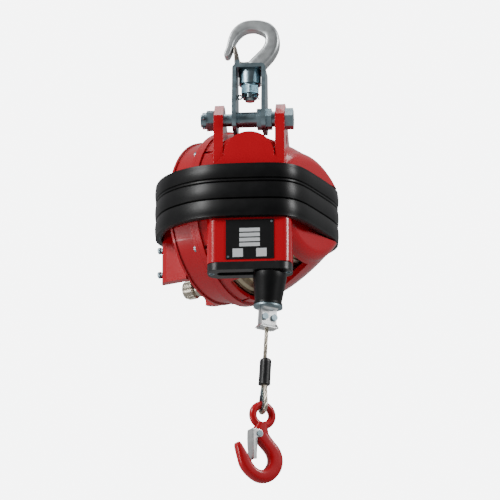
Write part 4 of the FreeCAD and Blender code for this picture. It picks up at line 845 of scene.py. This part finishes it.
# The arch between the ears, in mm
ARCH_TOP = -140.2
ARCH_FOOT = -182
ARCH_RADIUS = 56
ARCH_HALF = 35
ARCH_LEFT = -2


def split_faces(shell):
    bmesh.ops.triangulate(shell, faces=[f for f in shell.faces if len(f.verts) > 3])


def swollen_housing():
    """The drum housing's own mesh, its cover fuller above and below the band, as cast."""
    shell = bmesh.new()
    shell.from_mesh(welded("drum_housing"))
    for height in (-BAND_HALF - 1.5 * MM, -BAND_HALF + 1 * MM, BAND_HALF - 1 * MM, BAND_HALF + 1.5 * MM):
        bmesh.ops.bisect_plane(
            shell, geom=shell.verts[:] + shell.edges[:] + shell.faces[:], dist=WELD,
            plane_co=(0, 0, DRUM_MIDDLE.z + height), plane_no=(0, 0, 1))
    for _ in range(3):
        long_edges = [
            e for e in shell.edges
            if e.calc_length() > COVER_FACET and max(v.co.x for v in e.verts) > COVER_START
        ]
        if not long_edges:
            break
        bmesh.ops.subdivide_edges(shell, edges=long_edges, cuts=1)
        split_faces(shell)
    split_faces(shell)
    for corner in shell.verts:
        place = corner.co
        beyond = min(1.0, max(0.0, (place.x - COVER_START) / COVER_RUN))
        above = abs(place.z - DRUM_MIDDLE.z) - BAND_HALF
        if above <= 0 or not beyond:
            continue
        fade = max(0.0, 1 - above / COVER_FADE)
        share = min(1.0, above / (1.4 * MM)) * beyond ** 1.3 * fade ** 0.8
        corner.co.x += COVER_SWELL * share
        corner.co.y -= 0.35 * COVER_SWELL * share
    return mesh_of("drum_housing_cast", shell)


def arch_shell():
    """The broad arch between the ears, its front rim rounded as a casting is."""
    loop = []
    for k in range(25):
        across = ARCH_HALF * (k / 12 - 1)
        loop.append((across + ARCH_LEFT, ARCH_TOP - ARCH_RADIUS + math.sqrt(ARCH_RADIUS ** 2 - across ** 2)))
    loop += [(ARCH_HALF + ARCH_LEFT, ARCH_FOOT), (-ARCH_HALF + ARCH_LEFT, ARCH_FOOT)]
    shell = bmesh.new()
    add_slab(shell, [Vector(p) * MM for p in loop], -14.6, 40, 5, steps=5)
    return shell


# Geometry node trees

def new_tree(name, inputs):
    """A geometry node tree with a geometry input, named inputs and a geometry output."""
    tree = bpy.data.node_groups.new(name, "GeometryNodeTree")
    tree.interface.new_socket("Geometry", in_out="INPUT", socket_type="NodeSocketGeometry")
    for label, kind in inputs:
        tree.interface.new_socket(label, in_out="INPUT", socket_type=kind)
    tree.interface.new_socket("Geometry", in_out="OUTPUT", socket_type="NodeSocketGeometry")
    return tree, add_node(tree, "NodeGroupInput").outputs


def close_tree(tree, geometry, material):
    """Real faces in their material at the tree's end."""
    real = add_node(tree, "GeometryNodeRealizeInstances", links={"Geometry": geometry})
    painted = add_node(
        tree, "GeometryNodeSetMaterial", links={"Geometry": real.outputs["Geometry"], "Material": material})
    add_node(tree, "NodeGroupOutput", links={"Geometry": painted.outputs["Geometry"]})


def rope_tree():
    """Strands laid round a line, each a tube that goes once round in a lay."""
    tree, given = new_tree("laid rope", [
        ("Radius", "NodeSocketFloat"), ("Lay", "NodeSocketFloat"), ("Strands", "NodeSocketInt"),
        ("Step", "NodeSocketFloat"), ("Sides", "NodeSocketInt"), ("Material", "NodeSocketMaterial"),
    ])
    line = add_node(tree, "GeometryNodeMeshToCurve", links={"Mesh": given["Geometry"]})
    even = add_node(
        tree, "GeometryNodeResampleCurve", {"mode": "LENGTH"},
        {"Curve": line.outputs["Curve"], "Length": given["Step"]})
    copies = add_node(
        tree, "GeometryNodeDuplicateElements", {"domain": "SPLINE"},
        {"Geometry": even.outputs["Curve"], "Amount": given["Strands"]})
    along = add_node(tree, "GeometryNodeSplineParameter")
    laid = add_node(
        tree, "ShaderNodeMath", {"operation": "DIVIDE"}, {0: along.outputs["Length"], 1: given["Lay"]})
    share = add_node(
        tree, "ShaderNodeMath", {"operation": "DIVIDE"},
        {0: copies.outputs["Duplicate Index"], 1: given["Strands"]})
    turns = add_node(tree, "ShaderNodeMath", {"operation": "ADD"}, {0: laid.outputs[0], 1: share.outputs[0]})
    angle = add_node(tree, "ShaderNodeMath", {"operation": "MULTIPLY", 1: 2 * math.pi}, {0: turns.outputs[0]})
    normal = add_node(tree, "GeometryNodeInputNormal")
    tangent = add_node(tree, "GeometryNodeInputTangent")
    across = add_node(
        tree, "ShaderNodeVectorMath", {"operation": "CROSS_PRODUCT"},
        {0: tangent.outputs["Tangent"], 1: normal.outputs["Normal"]})
    shares = []
    for operation, direction in (("COSINE", normal.outputs["Normal"]), ("SINE", across.outputs["Vector"])):
        wave = add_node(tree, "ShaderNodeMath", {"operation": operation}, {0: angle.outputs[0]})
        shares.append(add_node(
            tree, "ShaderNodeVectorMath", {"operation": "SCALE"}, {0: direction, "Scale": wave.outputs[0]}))
    both = add_node(
        tree, "ShaderNodeVectorMath", {"operation": "ADD"},
        {k: part.outputs["Vector"] for k, part in enumerate(shares)})
    strand = add_node(tree, "ShaderNodeMath", {"operation": "DIVIDE", 1: 3.0}, {0: given["Radius"]})
    reach = add_node(tree, "ShaderNodeMath", {"operation": "MULTIPLY", 1: 2.0}, {0: strand.outputs[0]})
    offset = add_node(
        tree, "ShaderNodeVectorMath", {"operation": "SCALE"},
        {0: both.outputs["Vector"], "Scale": reach.outputs[0]})
    moved = add_node(
        tree, "GeometryNodeSetPosition",
        links={"Geometry": copies.outputs["Geometry"], "Offset": offset.outputs["Vector"]})
    ring = add_node(
        tree, "GeometryNodeCurvePrimitiveCircle",
        links={"Resolution": given["Sides"], "Radius": strand.outputs[0]})
    tube = add_node(
        tree, "GeometryNodeCurveToMesh", {"Fill Caps": True},
        {"Curve": moved.outputs["Geometry"], "Profile Curve": ring.outputs["Curve"]})
    close_tree(tree, tube.outputs["Mesh"], given["Material"])
    return tree


def placed_tree():
    """A piece set on each point, its Z turned to an axis."""
    tree, given = new_tree("placed pieces", [
        ("Piece", "NodeSocketObject"), ("Axis", "NodeSocketVector"), ("Material", "NodeSocketMaterial"),
    ])
    shape = add_node(tree, "GeometryNodeObjectInfo", links={"Object": given["Piece"]})
    turn = add_node(tree, "FunctionNodeAlignEulerToVector", {"axis": "Z"}, {"Vector": given["Axis"]})
    placed = add_node(
        tree, "GeometryNodeInstanceOnPoints",
        links={"Points": given["Geometry"], "Instance": shape.outputs["Geometry"],
               "Rotation": turn.outputs["Rotation"]})
    close_tree(tree, placed.outputs["Instances"], given["Material"])
    return tree


def grow(name, base_mesh, tree, values):
    """The plain mesh that a tree makes of a base mesh, with its named inputs set."""
    base = bpy.data.objects.new(name, base_mesh)
    bpy.context.scene.collection.objects.link(base)
    modifier = base.modifiers.new("nodes", "NODES")
    modifier.node_group = tree
    sockets = {item.name: item.identifier for item in tree.interface.items_tree if item.in_out == "INPUT"}
    for label, value in values.items():
        modifier[sockets[label]] = value
    bpy.context.view_layer.update()
    mesh = evaluated(base)
    bpy.data.objects.remove(base)
    if not mesh.polygons:
        raise RuntimeError(f"{name}: its tree made no faces")
    mesh.shade_smooth()
    mesh.set_sharp_from_angle(angle=math.radians(40))
    return mesh


def rope_mesh(name, points_mesh, sides=8, step=None):
    """Wire rope along a line of points."""
    return grow(name, points_mesh, rope_tree(), {
        "Radius": ROPE_DIAMETER / 2, "Lay": sizes().rope_lay, "Strands": sizes().rope_strands,
        "Step": step or sizes().rope_step, "Sides": sides, "Material": finish("rope"),
    })


def screw_mesh(name, head_radius, head_tall):
    """A cap screw's head up to its top at Z 0, with a chamfered rim and a hexagon socket."""
    socket = 0.52 * head_radius
    outline = [
        (head_radius, 0, round_ring), (head_radius, 0.84, round_ring), (0.93 * head_radius, 1, round_ring),
        (1.12 * socket, 1, hexagon_ring), (socket, 0.93, hexagon_ring),
        (0.96 * socket, 0.35, hexagon_ring),
        (0.3 * socket, 0.2, round_ring),
    ]
    return turned_mesh(name, [(radius, (share - 1) * head_tall, shape) for radius, share, shape in outline])


def set_screws(node, axis, finish_name):
    """Cap screw heads where a node's solids stand, their tops where the solids end."""
    places = []
    head_radius = 0
    for corners in solids(node):
        low, high, middle = span_along(corners, axis)
        places.append(middle + axis * (high - middle.dot(axis)))
        head_radius = max((c - middle - axis * (c - middle).dot(axis)).length for c in corners)
    shape = bpy.data.objects.new(node + "_shape", screw_mesh(node + "_head", head_radius, 3 * MM))
    bpy.context.scene.collection.objects.link(shape)
    mesh = grow(node + "_points", line_mesh(node, places), placed_tree(), {
        "Piece": shape, "Axis": tuple(axis), "Material": finish(finish_name)})
    bpy.data.objects.remove(shape)
    return add_piece(node + "_heads", mesh, finish_name, body_of(node), node)


# Band

BAND_STEP = 3 * MM
BAND_ROUNDS = 110
BAND_THICK = 8.4 * MM
BAND_LIP = 3.2 * MM
BAND_CROWN = 0.9 * MM
GROOVE_HALF = 1.2 * MM


def band_outline():
    """The band's outer outline in plan, evened out, and the normals along it."""
    corners = {(round(v.co.x, 6), round(v.co.y, 6)) for v in NODES["bumper_band"].data.vertices}
    ordered = sorted(corners)

    def half_hull(points):
        hull = []
        for p in points:
            while len(hull) > 1 and ((hull[-1][0] - hull[-2][0]) * (p[1] - hull[-2][1])
                                     - (hull[-1][1] - hull[-2][1]) * (p[0] - hull[-2][0])) <= 0:
                hull.pop()
            hull.append(p)
        return hull[:-1]

    loop = half_hull(ordered) + half_hull(ordered[::-1])
    even = []
    for start, end in zip(loop, loop[1:] + loop[:1]):
        count = max(1, round(math.dist(start, end) / BAND_STEP))
        even += [Vector(start).lerp(Vector(end), k / count) for k in range(count)]
    for _ in range(BAND_ROUNDS):
        even = [(even[k - 1] + even[k] * 2 + even[(k + 1) % len(even)]) / 4 for k in range(len(even))]
    normals = []
    for k in range(len(even)):
        run = even[(k + 1) % len(even)] - even[k - 1]
        normals.append(Vector((run.y, -run.x)).normalized())
    return even, normals


def band_profile(tall, groove):
    """The band's section as (inwards, up) from its outer face and lower edge: three crowned
    ribs, one pair of fine grooves and one single groove between them, and rounded lips."""
    section = [(BAND_THICK, 0.0), (BAND_LIP, 0.0), (0.9 * MM, 0.9 * MM)]

    def rib(low, high):
        steps = 7
        for k in range(steps + 1):
            share = k / steps
            section.append((BAND_CROWN * (2 * share - 1) ** 2, low + (high - low) * share))

    def cut(middle, depth):
        for aside, part in ((-0.45, 0.75), (0, 1), (0.45, 0.75)):
            section.append((BAND_CROWN + depth * part, middle + GROOVE_HALF * aside))

    first = 0.335 * tall
    second = 0.68 * tall
    twin = 0.03 * tall
    rib(2.4 * MM, first - GROOVE_HALF)
    cut(first, groove)
    rib(first + GROOVE_HALF, second - twin - GROOVE_HALF)
    cut(second - twin, 0.7 * groove)
    section.append((BAND_CROWN, second - twin + GROOVE_HALF))
    section.append((BAND_CROWN, second + twin - GROOVE_HALF))
    cut(second + twin, 0.7 * groove)
    rib(second + twin + GROOVE_HALF, tall - 2.4 * MM)
    section += [(0.9 * MM, tall - 0.9 * MM), (BAND_LIP, tall), (BAND_THICK, tall)]
    return section


def band_mesh():
    low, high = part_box("bumper_band")
    section = band_profile(high.z - low.z, sizes().band_groove)
    shell = bmesh.new()
    rings = []
    for place, normal in zip(*band_outline()):
        rings.append([
            shell.verts.new((*(place - normal * inwards), low.z + up)) for inwards, up in section
        ])
    join_rings(shell, rings, around=True)
    bmesh.ops.recalc_face_normals(shell, faces=shell.faces)
    return mesh_of("rubber_band", shell)


# Plate

def add_field(shell, left, right, low, high, front, proud):
    """A raised rectangle with a chamfered rim on a plate that faces -Y."""
    rings = []
    for rim, depth in ((0, front + 0.1 * MM), (0.25 * MM, front - proud)):
        sides = (left + rim, right - rim, right - rim, left + rim)
        heights = (low + rim, low + rim, high - rim, high - rim)
        rings.append([shell.verts.new((x, depth, z)) for x, z in zip(sides, heights)])
    join_rings(shell, rings)
    shell.faces.new(rings[1])
    shell.faces.new(list(reversed(rings[0])))


def plate_fields_mesh(cells, proud):
    """Blank fields at the given shares of the plate's width and height, from its top left."""
    low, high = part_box("nameplate")
    wide = high.x - low.x
    tall = high.z - low.z
    shell = bmesh.new()
    for left, right, top, bottom in cells:
        add_field(shell, low.x + wide * left, low.x + wide * right, high.z - tall * bottom,
                  high.z - tall * top, low.y, proud)
    bmesh.ops.recalc_face_normals(shell, faces=shell.faces)
    return mesh_of("plate_fields", shell)


# Operators

class OBJECT_OT_balancer_castings(bpy.types.Operator):
    """Adds the red castings: the drum housing, the spring case and the end block"""

    bl_idname = "object.balancer_castings"
    bl_label = "Castings"

    def execute(self, context):
        body = body_of("drum_housing")
        housing = add_piece("drum_housing_skin", swollen_housing(), "enamel", body, "drum_housing")
        soften(housing, CAST_ANGLE)
        arch = shell_piece("housing_arch", arch_shell(), "enamel", body, angle=40)
        covers = [skin(node, "enamel", CAST_ANGLE) for node in ("spring_case", "end_block")]
        return {"FINISHED"}


class OBJECT_OT_balancer_suspension(bpy.types.Operator):
    """Adds the suspension hook with its gate, swivel stack and bracket"""

    bl_idname = "object.balancer_suspension"
    bl_label = "Suspension"

    def execute(self, context):
        hook = "suspension_hook"
        shell_piece("forged_hook", suspension_hook_shell(), "forging", body_of(hook), hook)
        shell_piece("spring_gate", gate_shell(), "spring", body_of("hook_gate"), "hook_gate")
        skins("zinc", "gate_pin", "thrust_washer", "thrust_collar", "nut_washer", "hook_nut",
              "hook_split_pin", "suspension_bracket")
        return {"FINISHED"}


class OBJECT_OT_balancer_cross_bolt(bpy.types.Operator):
    """Adds the cross bolt with its spacers, jam nuts, castle nut and split pin"""

    bl_idname = "object.balancer_cross_bolt"
    bl_label = "Cross Bolt"

    def execute(self, context):
        skins("zinc", "cross_bolt", "spacer_tube", "jam_nuts", "cross_bolt_nut", "cross_bolt_split_pin")
        return {"FINISHED"}


class OBJECT_OT_balancer_band(bpy.types.Operator):
    """Adds the ribbed rubber band round the body"""

    bl_idname = "object.balancer_band"
    bl_label = "Rubber Band"

    def execute(self, context):
        piece = add_piece("rubber_band", band_mesh(), "rubber", body_of("bumper_band"), "bumper_band")
        piece.data.shade_smooth()
        piece.data.set_sharp_from_angle(angle=math.radians(38))
        return {"FINISHED"}


class OBJECT_OT_balancer_guide(bpy.types.Operator):
    """Adds the rope guide and its two screws"""

    bl_idname = "object.balancer_guide"
    bl_label = "Rope Guide"

    def execute(self, context):
        skin("rope_guide", "nylon", CAST_ANGLE)
        set_screws("guide_screws", Vector((0, 0, -1)), "zinc")
        return {"FINISHED"}


class OBJECT_OT_balancer_plate(bpy.types.Operator):
    """Adds the black plate with its blank fields and rivets"""

    bl_idname = "object.balancer_plate"
    bl_label = "Plate"

    def execute(self, context):
        skin("nameplate", "plate")
        skin("nameplate_rivets", "zinc")
        first_row = 0.21
        row_pitch = 0.125
        row_tall = 0.1
        rows = [first_row + row_pitch * k for k in range(4)]
        cells = [(0.28, 0.71, row, row + row_tall) for row in rows]
        cells += [(0.14, 0.36, 0.73, 0.95), (0.63, 0.85, 0.73, 0.95)]
        mesh = plate_fields_mesh(cells, 0.06 * MM)
        piece = add_piece("plate_fields", mesh, "field", body_of("nameplate"))
        return {"FINISHED"}


class OBJECT_OT_balancer_screws(bpy.types.Operator):
    """Adds the screws of the flange and the end block"""

    bl_idname = "object.balancer_screws"
    bl_label = "Screws"

    def execute(self, context):
        skins("zinc", "flange_screws", "end_block_screws")
        return {"FINISHED"}


class OBJECT_OT_balancer_drum(bpy.types.Operator):
    """Adds the conical drum, its wound rope, its shaft and its spring"""

    bl_idname = "object.balancer_drum"
    bl_label = "Rope Drum"

    def execute(self, context):
        skin("rope_drum", "drum")
        skin("power_spring", "spring", 40)
        skins("turned", "spring_barrel", "drum_bearings", "spring_arbor", "drum_shaft", "shaft_circlips")
        turns = bmesh.new()
        for corners in solids("rope_turns"):
            local = [DRUM_FRAME.inverted() @ c for c in corners]
            along = sum(c.x for c in local) / len(local)
            radii = [math.hypot(c.y, c.z) for c in local]
            reach = (max(radii) + min(radii)) / 2
            ring = []
            for angle in angles(90):
                spot = DRUM_FRAME @ Vector((along, reach * math.cos(angle), reach * math.sin(angle)))
                ring.append(turns.verts.new(spot))
            for corner, following in zip(ring, ring[1:] + ring[:1]):
                turns.edges.new((corner, following))
        path = mesh_of("rope_turns_path", turns)
        mesh = rope_mesh("rope_turns_line", path, sides=6, step=2 * MM)
        piece = add_piece("wound_rope", mesh, "rope", body_of("rope_turns"), "rope_turns")
        return {"FINISHED"}


class OBJECT_OT_balancer_lock(bpy.types.Operator):
    """Adds the drum lock: its bush, knob and spring"""

    bl_idname = "object.balancer_lock"
    bl_label = "Drum Lock"

    def execute(self, context):
        skin("lock_bush", "nylon")
        knob = "lock_knob"
        shell_piece("notched_knob", knob_shell(), "nickel", body_of(knob), knob, angle=SHARP_ANGLE)
        skin("lock_spring", "spring")
        return {"FINISHED"}


class OBJECT_OT_balancer_buffer(bpy.types.Operator):
    """Adds the rubber buffer with its washer and the rope clamp"""

    bl_idname = "object.balancer_buffer"
    bl_label = "Buffer and Clamp"

    def execute(self, context):
        skin("rubber_buffer", "rubber", 40)
        skin("buffer_washer", "zinc")
        skin("rope_clamp", "pressed", CAST_ANGLE)
        shell_piece("clamp_lips", clamp_lips_shell(), "pressed", body_of("rope_clamp"))
        skin("clamp_screws", "zinc")
        return {"FINISHED"}


class OBJECT_OT_balancer_rope(bpy.types.Operator):
    """Adds the wire rope in the chute and below the clamp, with its sleeve and thimble"""

    bl_idname = "object.balancer_rope"
    bl_label = "Wire Rope"

    def execute(self, context):
        for node in ("rope_lead", "rope_core"):
            low, high, middle = span_along(corners_of(node), END_UP)
            ends = [middle + END_UP * (height - middle.dot(END_UP)) for height in (low, high)]
            mesh = rope_mesh(node + "_line", line_mesh(node, ends))
            piece = add_piece(node + "_wire", mesh, "rope", body_of(node), node)
        curve = bpy.data.curves.new("rope_route", "CURVE")
        curve.dimensions = "3D"
        curve.resolution_u = 12
        spline = curve.splines.new("NURBS")
        spline.points.add(len(ROPE_ROUTE) - 1)
        for point, (across, up) in zip(spline.points, ROPE_ROUTE):
            point.co = (*(END_FRAME @ Vector((0, across * MM, up * MM))), 1)
        spline.order_u = 3
        spline.use_endpoint_u = True
        route = bpy.data.objects.new("rope_route", curve)
        context.scene.collection.objects.link(route)
        context.view_layer.update()
        path_mesh = evaluated(route)
        bpy.data.objects.remove(route)
        mesh = rope_mesh("rope_end_line", path_mesh, step=1.2 * MM)
        piece = add_piece("free_rope", mesh, "rope", body_of("rope_end"), "rope_end")
        sleeve_body = body_of("rope_sleeve")
        sleeve = shell_piece("drawn_sleeve", sleeve_shell(), "sleeve", sleeve_body, "rope_sleeve", angle=50)
        thimble = skin("thimble", "zinc", CAST_ANGLE)
        return {"FINISHED"}


class OBJECT_OT_balancer_load_hook(bpy.types.Operator):
    """Adds the red load hook with its spring latch"""

    bl_idname = "object.balancer_load_hook"
    bl_label = "Load Hook"

    def execute(self, context):
        hook = "load_hook"
        piece = shell_piece("forged_load_hook", load_hook_shell(), "powder", body_of(hook), hook, angle=50)
        shell_piece("folded_latch", latch_shell(), "pressed", body_of("load_latch"), "load_latch")
        skin("latch_pin", "zinc")
        return {"FINISHED"}


class OBJECT_OT_balancer_stage(bpy.types.Operator):
    """Adds the pale floor, the soft lights and the camera"""

    bl_idname = "object.balancer_stage"
    bl_label = "Stage"

    def execute(self, context):
        scene = context.scene
        middle = Vector((0, 0, -289.5 * MM))
        # Low enough for the load hook on its whole rope
        floor_place = Matrix.Translation((0, 0, -2.75))
        floor_radius = 12
        shell = bmesh.new()
        bmesh.ops.create_circle(shell, cap_ends=True, segments=96, radius=floor_radius, matrix=floor_place)
        mesh = mesh_of("floor", shell)
        mesh.materials.append(finish("ground"))
        floor = bpy.data.objects.new("floor", mesh)
        scene.collection.objects.link(floor)

        world = bpy.data.worlds.new("studio")
        world.use_nodes = True
        tree = world.node_tree
        background = tree.nodes["Background"]
        background.inputs["Color"].default_value = opaque(linear("#F8F9FA"))
        # A light tent, dark round the camera and dimmer underneath, before a white backdrop
        around = add_node(tree, "ShaderNodeTexCoord")
        parts = add_node(tree, "ShaderNodeSeparateXYZ", links={"Vector": around.outputs["Generated"]})
        tent = add_node(
            tree, "ShaderNodeMapRange",
            {"interpolation_type": "SMOOTHSTEP", "From Min": -0.92, "From Max": -0.3,
             "To Min": sizes().studio_dim, "To Max": sizes().studio_bright},
            {"Value": parts.outputs["Y"]})
        height = add_node(
            tree, "ShaderNodeMapRange",
            {"interpolation_type": "SMOOTHSTEP", "From Min": -0.7, "From Max": 0.5,
             "To Min": 0.25, "To Max": 1.0},
            {"Value": parts.outputs["Z"]})
        light = add_node(
            tree, "ShaderNodeMath", {"operation": "MULTIPLY"},
            {0: tent.outputs["Result"], 1: height.outputs["Result"]})
        seen = add_node(tree, "ShaderNodeLightPath")
        glow = add_node(
            tree, "ShaderNodeMix", {"data_type": "FLOAT", 3: sizes().backdrop},
            {0: seen.outputs["Is Camera Ray"], 2: light.outputs[0]})
        tree.links.new(glow.outputs[0], background.inputs["Strength"])
        scene.world = world

        # Name, place in m, side in m and power in W of each soft light
        lights = [
            ("key", Vector((-1.2, -1.1, 0.6)), 0.6, 30),
            ("right", Vector((1.4, -0.5, 0.4)), 0.5, 20),
            ("low_left", Vector((-1.4, -0.4, -0.8)), 0.5, 8),
            ("top", Vector((0.1, 0.2, 1.3)), 0.9, 11),
        ]
        for name, place, wide, power in lights:
            data = bpy.data.lights.new(name, "AREA")
            data.shape = "SQUARE"
            data.size = wide
            data.energy = power
            lamp = bpy.data.objects.new(name, data)
            lamp.location = place
            lamp.rotation_euler = (middle - place).to_track_quat("-Z", "Y").to_euler()
            scene.collection.objects.link(lamp)

        azimuth = sizes().camera_azimuth
        elevation = sizes().camera_elevation
        back = Vector((
            math.sin(azimuth) * math.cos(elevation),
            -math.cos(azimuth) * math.cos(elevation),
            math.sin(elevation),
        ))
        data = bpy.data.cameras.new("camera")
        data.sensor_width = 36
        data.lens = data.sensor_width * sizes().camera_distance / sizes().frame_width
        camera = bpy.data.objects.new("camera", data)
        camera.location = middle + back * sizes().camera_distance
        camera.rotation_euler = (-back).to_track_quat("-Z", "Y").to_euler()
        scene.collection.objects.link(camera)
        scene.camera = camera
        return {"FINISHED"}


PIECE_OPERATORS = (
    OBJECT_OT_balancer_castings, OBJECT_OT_balancer_suspension, OBJECT_OT_balancer_cross_bolt,
    OBJECT_OT_balancer_band, OBJECT_OT_balancer_guide, OBJECT_OT_balancer_plate,
    OBJECT_OT_balancer_screws, OBJECT_OT_balancer_drum, OBJECT_OT_balancer_lock,
    OBJECT_OT_balancer_buffer, OBJECT_OT_balancer_rope, OBJECT_OT_balancer_load_hook,
    OBJECT_OT_balancer_stage,
)


class VIEW3D_PT_balancer(bpy.types.Panel):
    """Lists the balancer's pieces, sizes and colours"""

    bl_label = "Tool Balancer"
    bl_space_type = "VIEW_3D"
    bl_region_type = "UI"
    bl_category = "Balancer"

    def draw(self, context):
        for group in (context.scene.balancer_sizes, context.scene.balancer_colours):
            column = self.layout.column()
            for name in group.__annotations__:
                column.prop(group, name)
        for operator in PIECE_OPERATORS:
            self.layout.operator(operator.bl_idname)


CLASSES = (BalancerSizes, BalancerColours, *PIECE_OPERATORS, VIEW3D_PT_balancer)


def register():
    for kind in CLASSES:
        bpy.utils.register_class(kind)
    bpy.types.Scene.balancer_sizes = PointerProperty(type=BalancerSizes)
    bpy.types.Scene.balancer_colours = PointerProperty(type=BalancerColours)


def unregister():
    del bpy.types.Scene.balancer_colours
    del bpy.types.Scene.balancer_sizes
    for kind in reversed(CLASSES):
        bpy.utils.unregister_class(kind)


def main():
    register()
    for operator in PIECE_OPERATORS:
        group, name = operator.bl_idname.split(".")
        getattr(getattr(bpy.ops, group), name)()


if __name__ == "__main__":
    main()
